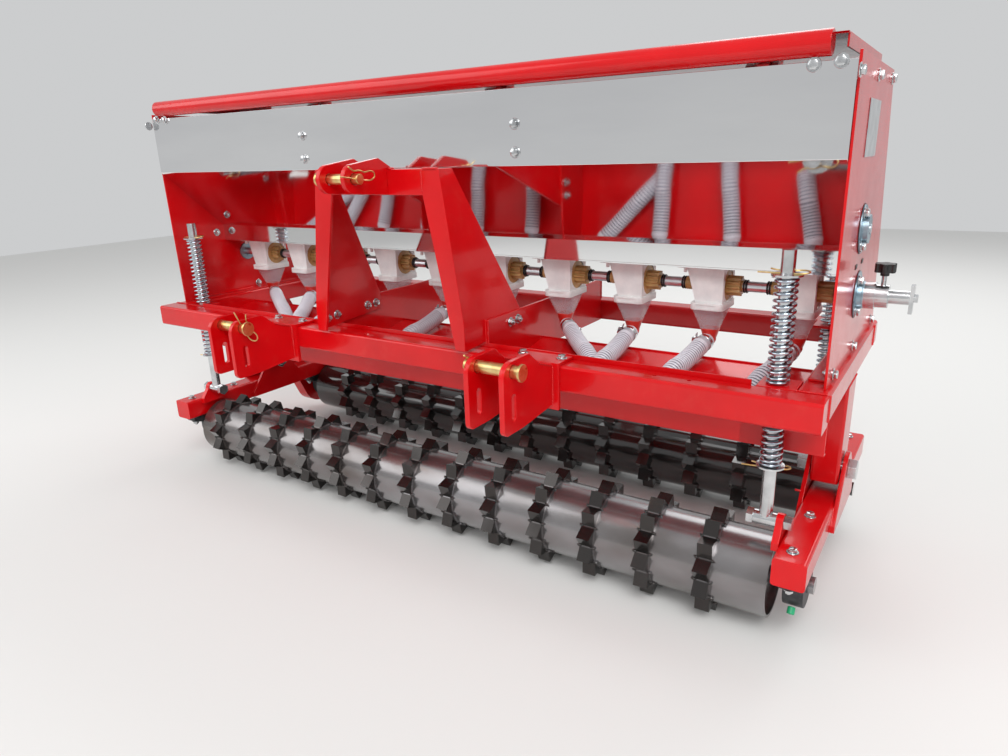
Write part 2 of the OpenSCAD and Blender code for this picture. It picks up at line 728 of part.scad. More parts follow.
module chain_case() color("firebrick")
    translate([-case_x - case_t, 0, 0]) difference() {
        union() {
            yz_plate(0, case_t) {
                translate([rear_axle_y, axle_z]) circle(case_r + 14);
                translate([my, meter_z]) circle(case_r);
                a = atan2(meter_z - axle_z, my - rear_axle_y);
                r0 = case_r + 14;
                polygon([[rear_axle_y + r0 * cos(a + 90), axle_z + r0 * sin(a + 90)],
                         [rear_axle_y + r0 * cos(a - 90), axle_z + r0 * sin(a - 90)],
                         [my + case_r * cos(a - 90), meter_z + case_r * sin(a - 90)],
                         [my + case_r * cos(a + 90), meter_z + case_r * sin(a + 90)]]);
            }
            translate([0, my + 68, beam_z - tube / 2]) x_cyl(18, case_t - 1, case_t + case_x - side_x);
        }
        translate([0, rear_axle_y, axle_z]) x_cyl(axle_d / 2 + 1, 8, tube);
        translate([0, my, meter_z]) x_cyl(meter_d / 2 + 1, 8, tube);
    }

// Rollers

drum_wall = 5;

// Point i of a ring's outline: ridges and valleys in turn
function ridge_point(i) =
    let (a = 180 / lug_count * i - 90, r = i % 2 == 0 ? tip_r : drum_r + valley_h)
    [r * cos(a), r * sin(a)];

// A roller whose first ring stands at first, with n rings
module roller(y, left, first, n) translate([0, y, axle_z]) {
    difference() {
        x_cyl(drum_r, -drum_len / 2, drum_len / 2);
        for (s = [-1, 1]) translate([s * drum_len / 2, 0, 0]) x_cyl(drum_r - drum_wall, -12, 12);
        x_cyl(drum_r - drum_wall, -drum_len / 2 + 20, drum_len / 2 - 20);
        for (s = [-1, 1]) translate([s * drum_len / 2, 0, 0.6 * drum_r]) x_cyl(8, -30, 30);
    }
    x_cyl(axle_d / 2, -left, side_x + 3);
    for (k = [0:n - 1]) translate([first + k * ring_pitch - ring_w / 2, 0, 0])
        rotate([park_turn + (k + 1) % 2 * ring_turn * 360 / lug_count, 0, 0])
            rotate([90, 0, 90]) linear_extrude(ring_w)
                polygon([for (i = [0:2 * lug_count - 1]) ridge_point(i)]);
}
module front_roller() color("gray") roller(front_axle_y, side_x + 3, ring_x, ring_count);
module rear_roller() color("black")
    roller(rear_axle_y, case_x + case_t - 12, ring_x + ring_pitch / 2, ring_count - 1);

// Shafts

module metering_shaft() color("silver")
    translate([0, my, meter_z]) {
        x_cyl(meter_d / 2, -case_x - case_t + 12, plate_x + 10);
        for (k = [0:cup_count - 1]) translate([cup_x(k) + roll_x + roll_len / 2, 0, 0]) x_cyl(15, 0, 8);
    }

module metering_rolls() color("peru")
    for (k = [0:cup_count - 1]) translate([cup_x(k) + roll_x, my, meter_z]) difference() {
        x_cyl(roll_d / 2, -roll_len / 2, roll_len / 2);
        x_cyl(meter_d / 2, -roll_len, roll_len);
        for (a = [0:30:330]) rotate([a, 0, 0]) translate([0, 0, roll_d / 2]) x_cyl(4, -roll_len, roll_len);
    }

module agitator_shaft() color("silver")
    translate([0, ay, agit_z]) {
        x_cyl(agitator_d / 2, -plate_x - 14, plate_x + 14);
        for (k = [0:cup_count - 1]) translate([cup_x(k), 0, 0]) cylinder(d = 6, h = 70, center = true);
    }

// Lid, hinged along the rear rim
lid_d = 35;
hinge_y = beam_y + 440;
hinge_z = beam_z + rim_h + 26;
lid_x = inner_x - 17;
lid_z = hinge_z + 8;
lid_front = beam_y + 60;
HINGES = [-600, 0, 600];

module lid_hinges() color("firebrick")
    for (x = HINGES) translate([x, 0, 0]) {
        yz_plate(-12, 24) polygon([[beam_y + back_y, beam_z + rim_h - 40], [hinge_y + 8, beam_z + rim_h - 30],
            [hinge_y + 8, hinge_z], [hinge_y - 8, hinge_z], [hinge_y - 8, beam_z + rim_h],
            [beam_y + back_y, beam_z + rim_h]]);
        translate([0, hinge_y, hinge_z]) x_cyl(8, -12, 12);
        translate([0, hinge_y, hinge_z]) x_cyl(4, -32, 32);
    }

module lid_sheet() color("red") {
    difference() {
        union() {
            translate([-lid_x, lid_front, lid_z]) cube([2 * lid_x, hinge_y - 12 - lid_front, 2.5]);
            for (s = [-1, 1]) translate([s * (lid_x - 1.25), 0, 0])
                yz_plate(-1.25, 2.5) polygon([[lid_front + 20, lid_z - 17], [hinge_y - 12, lid_z - 17],
                    [hinge_y - 12, lid_z], [lid_front + 20, lid_z]]);
            for (x = HINGES, s = [-1, 1]) translate([x + s * 22, 0, 0]) {
                yz_plate(-8, 16) polygon([[hinge_y - 30, lid_z], [hinge_y - 12, hinge_z - 6], [hinge_y, hinge_z - 8],
                    [hinge_y, hinge_z + 8], [hinge_y - 12, lid_z + 2.5], [hinge_y - 30, lid_z + 2.5]]);
                translate([0, hinge_y, hinge_z]) x_cyl(8, -8, 8);
            }
        }
        translate([0, hinge_y, hinge_z]) x_cyl(4 + fit, -side_x, side_x);
        translate([0, lid_front, lid_z - 11.5]) x_cyl(lid_d / 2, -side_x, side_x);
    }
}

module lid_tube() color("red")
    translate([0, lid_front, lid_z - 11.5]) x_cyl(lid_d / 2, 17 - lid_x, lid_x - 17);

front_beam();
side_tube_left();
side_tube_right();
rear_beam();
rail_left();
rail_right();
seed_tray();
mast_left();
mast_right();
mast_crossbar();
top_clevis();
hitch_bracket_left();
hitch_bracket_right();
hitch_pins();
leg_left();
leg_right();
arm_left();
arm_right();
pivot_bolts();
bearing_blocks();
rod_brackets();
spring_rods();
upper_springs();
lower_springs();
hopper_front();
hopper_back();
floor_front();
floor_back();
floor_webs();
end_plate_left();
end_plate_right();
blank_plate();
seed_cups();
seed_funnels();
seed_spouts();
seed_hoses();
hose_clamps();
shaft_bearings();
rate_adjuster();
rate_knob();
chain_case();
lid_hinges();
front_roller();
rear_roller();
metering_shaft();
metering_rolls();
agitator_shaft();
lid_sheet();
lid_tube();
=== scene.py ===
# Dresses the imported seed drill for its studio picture.
# The scene is in metres in the CAD frame: +X right, +Y rearwards, +Z up, hitch pins on the X axis.
# Lengths in the dictionaries are in millimetres in the same frame, up to the studio.
import json
import math

import bpy
from mathutils import Matrix, Vector


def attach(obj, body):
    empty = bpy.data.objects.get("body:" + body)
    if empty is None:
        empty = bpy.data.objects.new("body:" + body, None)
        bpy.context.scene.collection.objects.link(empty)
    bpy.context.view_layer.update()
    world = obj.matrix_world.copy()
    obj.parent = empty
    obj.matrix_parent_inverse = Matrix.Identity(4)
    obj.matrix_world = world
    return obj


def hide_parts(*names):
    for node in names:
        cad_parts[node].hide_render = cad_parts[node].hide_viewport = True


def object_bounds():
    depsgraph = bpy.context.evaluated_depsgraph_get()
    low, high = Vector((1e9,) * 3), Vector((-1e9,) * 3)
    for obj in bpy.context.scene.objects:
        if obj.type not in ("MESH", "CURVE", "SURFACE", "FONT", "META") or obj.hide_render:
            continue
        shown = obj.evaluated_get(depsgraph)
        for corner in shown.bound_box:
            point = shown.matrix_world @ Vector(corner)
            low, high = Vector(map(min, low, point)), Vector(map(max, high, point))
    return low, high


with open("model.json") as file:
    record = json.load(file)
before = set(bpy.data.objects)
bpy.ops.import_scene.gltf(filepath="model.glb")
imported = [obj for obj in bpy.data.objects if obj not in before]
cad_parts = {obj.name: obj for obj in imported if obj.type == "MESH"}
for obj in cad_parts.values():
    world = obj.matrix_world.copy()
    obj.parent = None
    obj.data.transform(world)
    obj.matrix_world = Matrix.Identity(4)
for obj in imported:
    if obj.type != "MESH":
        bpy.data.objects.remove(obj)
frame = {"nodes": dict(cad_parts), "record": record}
nodes = frame["nodes"]
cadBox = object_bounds()
scene = bpy.context.scene
mm = 0.001

# The CAD sizes that the dressing goes by
cad = {
    "frontAxleY": 237, "rearAxleY": 661, "axleZ": -386, "drumR": 75.0,
    "rodX": 748, "rodFrontY": 213, "rodRearY": 671,
    "shaftY": 427, "shaftZ": 87, "stirY": 399, "stirZ": 202,
    "cupCount": 10, "cupPitch": 160.9,
}
cupPlaces = [(k - (cad["cupCount"] - 1) / 2) * cad["cupPitch"] for k in range(cad["cupCount"])]
slotOf = {part["node"]: part["material_slot"] for part in frame["record"]["subparts"]}
bodyOf = {node: body for body, held in frame["record"]["behaviour"]["bodies"].items() for node in held}


# Small helpers

def deselectAll():
    if bpy.context.object and bpy.context.object.mode != "OBJECT":
        bpy.ops.object.mode_set(mode="OBJECT")
    bpy.ops.object.select_all(action="DESELECT")


def selectOnly(piece):
    deselectAll()
    bpy.context.view_layer.objects.active = piece
    piece.select_set(True)


def bakePlace(piece):
    # a finished piece sits at the origin with its place in its mesh
    selectOnly(piece)
    bpy.ops.object.transform_apply(location=True, rotation=True, scale=True)


def useModifier(piece, kind, **settings):
    # adds one modifier, sets it and applies it
    selectOnly(piece)
    modifier = piece.modifiers.new(kind.lower(), kind)
    for key, value in settings.items():
        setattr(modifier, key, value)
    bpy.ops.object.modifier_apply(modifier=modifier.name)


def roundEdges(piece, width, steps=2, angle=35):
    # rounds the edges that are sharper than angle
    useModifier(
        piece, "BEVEL", width=width * mm, segments=steps, limit_method="ANGLE",
        angle_limit=math.radians(angle),
    )


def smoothByAngle(piece, angle):
    selectOnly(piece)
    bpy.ops.object.shade_smooth_by_angle(angle=math.radians(angle))


def editMesh(piece, selectAll=True):
    selectOnly(piece)
    bpy.ops.object.mode_set(mode="EDIT")
    bpy.ops.mesh.select_all(action="SELECT" if selectAll else "DESELECT")


def leaveEdit():
    bpy.ops.object.mode_set(mode="OBJECT")


def pickParts(piece, kind, wanted):
    # edit mode with just the faces, edges or vertices selected that wanted() says yes to
    editMesh(piece, False)
    bpy.ops.mesh.select_mode(type=kind)
    leaveEdit()
    parts = {"FACE": piece.data.polygons, "EDGE": piece.data.edges, "VERT": piece.data.vertices}[kind]
    for part in parts:
        part.select = wanted(part)
    bpy.ops.object.mode_set(mode="EDIT")


def endsOf(piece, edge):
    return [piece.data.vertices[v].co for v in edge.vertices]


def faceOut():
    # in edit mode, turns every face of the piece outwards
    bpy.ops.mesh.select_all(action="SELECT")
    bpy.ops.mesh.normals_make_consistent(inside=False)


def makeBlock(low, high, ease=0.0, steps=2):
    # a block between two corners, in mm, with its edges rounded
    deselectAll()
    middle = [(a + b) / 2 * mm for a, b in zip(low, high)]
    bpy.ops.mesh.primitive_cube_add(size=1, location=middle)
    block = bpy.context.object
    block.scale = [(b - a) * mm for a, b in zip(low, high)]
    bakePlace(block)
    if ease:
        roundEdges(block, ease, steps)
    return block


def makeRod(radius, start, end, sides=24, ease=0.0, steps=2, endRadius=None):
    # a round bar or cone between two points, in mm
    deselectAll()
    near, far = Vector(start) * mm, Vector(end) * mm
    run = far - near
    bpy.ops.mesh.primitive_cone_add(
        vertices=sides, radius1=radius * mm, radius2=(radius if endRadius is None else endRadius) * mm,
        depth=run.length, location=(near + far) / 2,
        rotation=run.normalized().to_track_quat("Z", "Y").to_euler(),
    )
    rod = bpy.context.object
    bakePlace(rod)
    if ease:
        roundEdges(rod, ease, steps)
    return rod


def makeRing(reach, thick, at, axis, sides):
    # a round wire ring, in mm
    deselectAll()
    bpy.ops.mesh.primitive_torus_add(
        major_radius=reach * mm, minor_radius=thick * mm, major_segments=sides, minor_segments=8,
        location=Vector(at) * mm, rotation=Vector(axis).to_track_quat("Z", "Y").to_euler(),
    )
    ring = bpy.context.object
    bakePlace(ring)
    return ring


def makeTube(rings, sides, wall):
    # a turned tube: each ring is (height, radius) in mm, the wall stands inwards
    deselectAll()
    firstZ, firstR = rings[0]
    bpy.ops.mesh.primitive_circle_add(vertices=sides, radius=firstR * mm, location=(0, 0, firstZ * mm))
    tube = bpy.context.object
    bakePlace(tube)
    editMesh(tube)
    for (lowZ, lowR), (highZ, highR) in zip(rings, rings[1:]):
        bpy.ops.mesh.extrude_region_move(TRANSFORM_OT_translate={"value": (0, 0, (highZ - lowZ) * mm)})
        bpy.ops.transform.resize(value=(highR / lowR, highR / lowR, 1))
    faceOut()
    leaveEdit()
    if wall:
        useModifier(tube, "SOLIDIFY", thickness=wall * mm, offset=-1)
    return tube


def makePath(points, detail):
    # a smooth curve through points, in mm
    deselectAll()
    bpy.ops.curve.primitive_nurbs_path_add()
    path = bpy.context.object
    spline = path.data.splines[0]
    spline.points.add(len(points) - len(spline.points))
    for point, spot in zip(spline.points, points):
        point.co = (*(Vector(spot) * mm), 1)
    spline.use_endpoint_u = True
    spline.order_u = 3
    spline.resolution_u = detail
    return path


def duplicateOf(piece):
    # a copy with its own mesh
    selectOnly(piece)
    bpy.ops.object.duplicate()
    return bpy.context.object


def copyTo(piece, at, axis=(0, 0, 1), turn=0.0):
    # a copy whose z axis points along axis and whose origin lies at at, in mm
    twin = duplicateOf(piece)
    tilt = Vector((0, 0, 1)).rotation_difference(Vector(axis)).to_matrix().to_4x4()
    spin = Matrix.Rotation(math.radians(turn), 4, "Z")
    twin.matrix_world = Matrix.Translation(Vector(at) * mm) @ tilt @ spin
    bakePlace(twin)
    return twin


def joinAll(parts, name):
    deselectAll()
    for part in parts:
        part.select_set(True)
    bpy.context.view_layer.objects.active = parts[0]
    if len(parts) > 1:
        bpy.ops.object.join()
    whole = bpy.context.object
    whole.name = name
    return whole


def removePiece(piece):
    selectOnly(piece)
    bpy.ops.object.delete()


def cutAway(piece, low, high):
    # takes a block out of a piece
    block = makeBlock(low, high)
    useModifier(piece, "BOOLEAN", object=block, operation="DIFFERENCE")
    removePiece(block)


def settle(piece, body, finish, slot, *replaced):
    # gives a finished piece its finish, its body and the CAD nodes that it stands for
    piece.data.materials.clear()
    piece.data.materials.append(finish)
    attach(piece, body)
    if replaced:
        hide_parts(*replaced)


# Finishes

print("finishes")


def newMaterial(name):
    material = bpy.data.materials.new(name)
    material.use_nodes = True
    return material, material.node_tree, material.node_tree.nodes["Principled BSDF"]


def noiseNode(tree, scale, detail=4, rough=0.55, stretch=None):
    # noise in the piece's own coordinates, drawn out along an axis where stretch says so
    place = tree.nodes.new("ShaderNodeTexCoord").outputs["Object"]
    if stretch:
        mapping = tree.nodes.new("ShaderNodeMapping")
        mapping.inputs["Scale"].default_value = stretch
        tree.links.new(place, mapping.inputs["Vector"])
        place = mapping.outputs["Vector"]
    noise = tree.nodes.new("ShaderNodeTexNoise")
    noise.inputs["Scale"].default_value = scale
    noise.inputs["Detail"].default_value = detail
    noise.inputs["Roughness"].default_value = rough
    tree.links.new(place, noise.inputs["Vector"])
    return noise.outputs["Fac"]


def rampNode(tree, source, stops):
    # two stops of (place, colour)
    ramp = tree.nodes.new("ShaderNodeValToRGB")
    for element, (at, colour) in zip(ramp.color_ramp.elements, stops):
        element.position = at
        element.color = (*colour, 1)
    tree.links.new(source, ramp.inputs["Fac"])
    return ramp.outputs["Color"]


def spreadNode(tree, source, low, high):
    spread = tree.nodes.new("ShaderNodeMapRange")
    spread.inputs["To Min"].default_value = low
    spread.inputs["To Max"].default_value = high
    tree.links.new(source, spread.inputs["Value"])
    return spread.outputs["Result"]


def mixNode(tree, share, first, second):
    # the first colour's socket gives way to a plain second colour as share grows
    mix = tree.nodes.new("ShaderNodeMix")
    mix.data_type = "RGBA"
    tree.links.new(share, mix.inputs["Factor"])
    tree.links.new(first, mix.inputs["A"])
    mix.inputs["B"].default_value = (*second, 1)
    return mix.outputs["Result"]


def addBump(tree, source, shader, strength, distance):
    bump = tree.nodes.new("ShaderNodeBump")
    bump.inputs["Strength"].default_value = strength
    bump.inputs["Distance"].default_value = distance
    tree.links.new(source, bump.inputs["Height"])
    tree.links.new(bump.outputs["Normal"], shader.inputs["Normal"])


paint = {
    "deep": (0.5, 0.0015, 0.003), "bright": (0.7, 0.002, 0.005),
    "cloud": 3.5, "cloudFrom": 0.3, "cloudTo": 0.7,
    "dust": (0.62, 0.12, 0.08), "dustMost": 0.1, "dustGrain": 26, "dustFrom": 0.56, "dustTo": 0.78,
    "rough": (0.12, 0.3), "specular": 0.3, "coat": 0.25, "coatRough": 0.05,
    "peelGrain": 160, "peel": 0.05, "peelDeep": 0.001,
}


def paintFinish(name, look):
    # glossy enamel, a little orange peel and a breath of dust
    material, tree, shader = newMaterial(name)
    cloud = noiseNode(tree, look["cloud"])
    shades = [(look["cloudFrom"], look["deep"]), (look["cloudTo"], look["bright"])]
    enamel = rampNode(tree, cloud, shades)
    grime = noiseNode(tree, look["dustGrain"], 8, 0.65)
    amounts = [(look["dustFrom"], (0, 0, 0)), (look["dustTo"], (look["dustMost"],) * 3)]
    mask = rampNode(tree, grime, amounts)
    tree.links.new(mixNode(tree, mask, enamel, look["dust"]), shader.inputs["Base Color"])
    tree.links.new(spreadNode(tree, grime, *look["rough"]), shader.inputs["Roughness"])
    shader.inputs["Specular IOR Level"].default_value = look["specular"]
    shader.inputs["Coat Weight"].default_value = look["coat"]
    shader.inputs["Coat Roughness"].default_value = look["coatRough"]
    addBump(tree, noiseNode(tree, look["peelGrain"], 2, 0.4), shader, look["peel"], look["peelDeep"])
    return material


grainStops = (0.35, 0.65)   # between these the dark shade gives way to the light one


def metalFinish(name, dark, light, rough, grain=40, stretch=(1, 1, 1), metal=1.0, bump=0.08, coat=0.0):
    # bare, plated or enamelled metal with drawn grain and uneven gloss
    material, tree, shader = newMaterial(name)
    noise = noiseNode(tree, grain, 6, 0.5, stretch)
    shades = rampNode(tree, noise, zip(grainStops, (dark, light)))
    tree.links.new(shades, shader.inputs["Base Color"])
    tree.links.new(spreadNode(tree, noise, *rough), shader.inputs["Roughness"])
    shader.inputs["Metallic"].default_value = metal
    shader.inputs["Coat Weight"].default_value = coat
    shader.inputs["Coat Roughness"].default_value = 0.1
    addBump(tree, noise, shader, bump, 0.0005)
    return material


def plasticFinish(name, dark, light, rough, grain=30, cover=1.0):
    # moulded plastic; cover is how much of it shows
    material, tree, shader = newMaterial(name)
    cloud = noiseNode(tree, grain)
    shades = rampNode(tree, cloud, zip(grainStops, (dark, light)))
    tree.links.new(shades, shader.inputs["Base Color"])
    fine = noiseNode(tree, 220, 3)
    tree.links.new(spreadNode(tree, fine, rough, rough + 0.12), shader.inputs["Roughness"])
    shader.inputs["IOR"].default_value = 1.5
    shader.inputs["Alpha"].default_value = cover
    addBump(tree, fine, shader, 0.04, 0.0004)
    return material


# the lugs' colour is a painted shade and painted dark reflection on the lugs' faces
lugs = {"over": 2.5, "fade": 1, "colour": (0.045, 0.04, 0.038)}


def lugPaintedShade(material, axleY, axleZ):
    # the finish turns to a painted shade a little way outside the drum on an axle along X, darkening the
    # lugs for the shade and dark reflections on their faces
    tree = material.node_tree
    shader = tree.nodes["Principled BSDF"]
    place = tree.nodes.new("ShaderNodeTexCoord")
    centre = tree.nodes.new("ShaderNodeMapping")
    centre.inputs["Location"].default_value = (0, -axleY * mm, -axleZ * mm)
    centre.inputs["Scale"].default_value = (0, 1, 1)
    tree.links.new(place.outputs["Object"], centre.inputs["Vector"])
    distance = tree.nodes.new("ShaderNodeVectorMath")
    distance.operation = "LENGTH"
    tree.links.new(centre.outputs["Vector"], distance.inputs[0])
    mask = tree.nodes.new("ShaderNodeMapRange")
    reach = cad["drumR"] + lugs["over"]
    mask.inputs["From Min"].default_value = (reach - lugs["fade"]) * mm
    mask.inputs["From Max"].default_value = (reach + lugs["fade"]) * mm
    tree.links.new(distance.outputs["Value"], mask.inputs["Value"])
    drum = shader.inputs["Base Color"].links[0].from_socket
    tree.links.new(mixNode(tree, mask.outputs["Result"], drum, lugs["colour"]), shader.inputs["Base Color"])


redPaint = paintFinish("red enamel", paint)
blackPaint = metalFinish(
    "black roller enamel", (0.01, 0.009, 0.009), (0.028, 0.022, 0.02), rough=(0.06, 0.22),
    grain=14, metal=0.0, bump=0.06, coat=0.8)
# the roller steel's streaks from dark brown to light grey, drawn out along the axle, are partly painted
# reflection bands and partly the steel's own brown mottling
rollerSteel = metalFinish(
    "oiled roller steel", (0.12, 0.1, 0.09), (0.34, 0.33, 0.34), rough=(0.14, 0.34),
    grain=6, stretch=(0.45, 1, 1), metal=0.85, bump=0.05, coat=0.35)
lugPaintedShade(rollerSteel, cad["frontAxleY"], cad["axleZ"])
stainless = metalFinish(
    "mirror stainless", (0.74, 0.74, 0.75), (0.84, 0.84, 0.84), rough=(0.03, 0.09),
    grain=6, stretch=(0.2, 1, 1), bump=0.02)
springZinc = metalFinish(
    "blue zinc spring", (0.36, 0.42, 0.48), (0.62, 0.68, 0.74), rough=(0.14, 0.3), grain=60)
zincPlate = metalFinish("zinc plate", (0.5, 0.51, 0.52), (0.68, 0.69, 0.7), rough=(0.16, 0.3))
shaftSteel = metalFinish(
    "bright shaft steel", (0.62, 0.65, 0.68), (0.82, 0.85, 0.88), rough=(0.28, 0.4),
    grain=50, stretch=(0.2, 1, 1))
goldPlate = metalFinish("gold zinc plate", (0.6, 0.4, 0.14), (0.82, 0.62, 0.3), rough=(0.2, 0.4), grain=60)
greyCast = metalFinish(
    "grey cast housing", (0.02, 0.02, 0.022), (0.06, 0.06, 0.065), rough=(0.4, 0.6),
    grain=80, metal=0.3, bump=0.3)
blueCast = metalFinish(
    "blue grey housing", (0.16, 0.25, 0.31), (0.4, 0.5, 0.56), rough=(0.2, 0.4),
    grain=25, metal=0.8, bump=0.12)
whitePlastic = plasticFinish("white cup plastic", (0.74, 0.74, 0.74), (0.86, 0.85, 0.84), 0.28)
amberPlastic = plasticFinish("amber roll plastic", (0.42, 0.24, 0.08), (0.62, 0.38, 0.15), 0.3)
clearPlastic = plasticFinish(
    "clear funnel plastic", (0.6, 0.62, 0.66), (0.86, 0.87, 0.9), 0.05, grain=18, cover=0.26)
redPlastic = plasticFinish("red spout plastic", (0.6, 0.02, 0.01), (0.75, 0.03, 0.02), 0.3)
# the hose's dark colour is painted shade for its grooves; the light one is its milky plastic
hosePlastic = plasticFinish("milky hose plastic with painted groove shade", (0.12, 0.11, 0.16), (0.8, 0.79, 0.86), 0.2, cover=0.85)
blackPlastic = plasticFinish("black knob plastic", (0.012, 0.012, 0.012), (0.03, 0.03, 0.03), 0.35)
greenPlastic = plasticFinish("green grease cap plastic", (0.01, 0.3, 0.12), (0.02, 0.45, 0.2), 0.3)

# painted shade: the hose's dark colour lies in its grooves and its light colour on its ribs
hoseTree = hosePlastic.node_tree
grooveShadeMark = hoseTree.nodes.new("ShaderNodeAttribute")
grooveShadeMark.attribute_name = "rib"
hoseRamp = next(node for node in hoseTree.nodes if node.type == "VALTORGB")
hoseTree.links.new(grooveShadeMark.outputs["Fac"], hoseRamp.inputs["Fac"])

bySlot = {
    "red_paint": redPaint, "black_paint": blackPaint, "roller_steel": rollerSteel,
    "stainless": stainless, "zinc": zincPlate, "gold_zinc": goldPlate, "grey_cast": greyCast,
    "blue_grey": blueCast, "white_plastic": whitePlastic, "amber_plastic": amberPlastic,
    "clear_plastic": clearPlastic, "red_plastic": redPlastic, "hose_plastic": hosePlastic,
    "black_plastic": blackPlastic,
}
for node, slot in slotOf.items():
    nodes[node].data.materials.clear()
    nodes[node].data.materials.append(bySlot[slot])


def easedCopy(name, width, finish=None, angle=30, cuts=()):
    # the CAD node's own shape with its sharp edges broken, less the blocks in cuts
    twin = duplicateOf(nodes[name])
    twin.name = name + "_eased"
    twin.parent = None
    editMesh(twin)
    bpy.ops.mesh.remove_doubles(threshold=0.02 * mm)
    bpy.ops.mesh.dissolve_limited(angle_limit=math.radians(0.5))
    leaveEdit()
    for low, high in cuts:
        cutAway(twin, low, high)
    roundEdges(twin, width, 2, angle)
    smoothByAngle(twin, 35)
    useModifier(twin, "WEIGHTED_NORMAL", keep_sharp=True)
    settle(twin, bodyOf[name], finish or bySlot[slotOf[name]], slotOf[name], name)


# Bolts and nuts, one of each copied to its places

print("bolts")
bolt = {
    "wide": 13, "tall": 6, "washer": 20, "thick": 1.8, "thread": 4.5, "threadShare": 0.26,
    "headEase": 0.8, "washerEase": 0.4, "threadEase": 0.7,
    "spin": 13,   # degrees from one to the next
    # rows are the master, the way its head points, and the (x, y, z) of its seats on the right side
    "rows": [
        ("bolt", (0, 0, 1), [(804, y, -293) for y in (167.5, 306.5, 591.5, 730.5)]),   # on the arms
        ("nut", (0, 0, -1), [(804, y, -360) for y in (167.5, 306.5, 591.5, 730.5)]),   # under the bearings
        ("bolt", (-1, 0, 0), [(193, 142, 3), (193, 170, 6), (193, 268, 9), (193, 296, 10)]),   # mast feet
        ("nut", (1, 0, 0), [(205, 268, 9), (205, 296, 10)]),   # rails
        ("bolt", (0, 0, 1), [(300, 162, -19), (383, 162, -19)]),   # lower hitch flaps
        ("bolt", (0, -1, 0), [(272, 197, 388), (272, 197, 340), (761, 197, 443), (796, 197, 445)]),   # front
        ("bolt", (1, 0, 0), [(821, 188, 431), (821, 381, 437), (821, 555, 442),
                             (821, 255, -11), (821, 452, -11), (821, 690, -11)]),   # end plates
        ("nut", (-1, 0, 0), [(817, 255, -11), (817, 452, -11), (817, 690, -11),
                             (817, 334, 150), (817, 500, 150)]),   # inside the end plates
        ("bolt", (1, 0, 0), [(824, 411.5, 113.8), (824, 411.5, 60.2), (824, 458, 87),
                             (824, 383.5, 228.8), (824, 383.5, 175.2), (824, 430, 202)]),   # shaft bearings
    ],
}


def makeBolt(name, thread=0.0):
    # a chamfered hex head on its washer, standing up from the origin
    foot, top = bolt["thick"], bolt["thick"] + bolt["tall"]
    reach = bolt["wide"] / 2 / math.cos(math.radians(30))
    parts = [
        makeRod(reach, (0, 0, foot), (0, 0, top), 6, bolt["headEase"], 2),
        makeRod(bolt["washer"] / 2, (0, 0, 0), (0, 0, foot), 24, bolt["washerEase"], 1),
    ]
    if thread:
        radius = bolt["wide"] * bolt["threadShare"]
        near, far = (0, 0, top - 1), (0, 0, top - 1 + thread)
        parts.append(makeRod(radius, near, far, 12, bolt["threadEase"], 1))
    whole = joinAll(parts, name)
    smoothByAngle(whole, 35)
    return whole


def boltRow(master, seats, axis):
    # copies on the right side, and on the left one with the axis turned over
    made = []
    for count, (x, y, z) in enumerate(seats + [(-x, y, z) for x, y, z in seats]):
        way = axis if x > 0 else (-axis[0], axis[1], axis[2])
        made.append(copyTo(master, (x, y, z), way, bolt["spin"] * count))
    return made


masters = {"bolt": makeBolt("bolt"), "nut": makeBolt("nut", bolt["thread"])}
fasteners = []
for kind, axis, seats in bolt["rows"]:
    fasteners += boltRow(masters[kind], seats, axis)
for master in masters.values():
    removePiece(master)
settle(joinAll(fasteners, "frame_bolts"), "root", zincPlate, "zinc")

# Coil springs

print("springs")
spring = {
    "wire": 5.2, "outer": 37, "steps": 26, "wireSides": 10, "deadTurns": 1.0,
    "deadRise": 1.04,   # how much a turn laid flat rises, in wires
    "upperFoot": -25, "upperTall": 173, "upperTurns": 17,
    "lowerFoot": -167, "lowerTall": 136, "lowerTurns": 13,
}


def makeSpring(tall, turns):
    # a ring of wire swept up a helix, its last turn at each end laid flat
    wire, dead = spring["wire"], spring["deadTurns"]
    deselectAll()
    bpy.ops.mesh.primitive_circle_add(
        vertices=spring["wireSides"], radius=wire / 2 * mm,
        location=((spring["outer"] - wire) / 2 * mm, 0, wire / 2 * mm), rotation=(math.radians(90), 0, 0),
    )
    coil = bpy.context.object
    bakePlace(coil)
    rise = (tall - wire) / turns
    useModifier(
        coil, "SCREW", angle=2 * math.pi, screw_offset=rise * mm, iterations=turns,
        steps=spring["steps"], render_steps=spring["steps"], use_normal_calculate=True,
    )
    flatRise = wire * spring["deadRise"]
    openRise = (tall - wire - 2 * dead * flatRise) / (turns - 2 * dead)
    for vertex in coil.data.vertices:
        around = math.atan2(vertex.co.y, vertex.co.x) / (2 * math.pi)
        turn = round((vertex.co.z / mm - wire / 2) / rise - around) + around
        height = min(turn, dead) * flatRise
        height += max(0, min(turn, turns - dead) - dead) * openRise
        height += max(0, turn - turns + dead) * flatRise
        vertex.co.z += (height - turn * rise) * mm
    editMesh(coil)
    bpy.ops.mesh.fill_holes(sides=0)
    faceOut()
    leaveEdit()
    smoothByAngle(coil, 50)
    return coil


rodPlaces = [(s * cad["rodX"], y) for s in (-1, 1) for y in (cad["rodFrontY"], cad["rodRearY"])]
for level in ("upper", "lower"):
    foot = spring[level + "Foot"]
    master = makeSpring(spring[level + "Tall"], spring[level + "Turns"])
    coils = [copyTo(master, (x, y, foot), turn=90 * k) for k, (x, y) in enumerate(rodPlaces)]
    removePiece(master)
    settle(joinAll(coils, level + "_spring_coils"), "root", springZinc, "zinc", level + "_springs")

# Clips: a straight leg through the pin and a waved leg over it

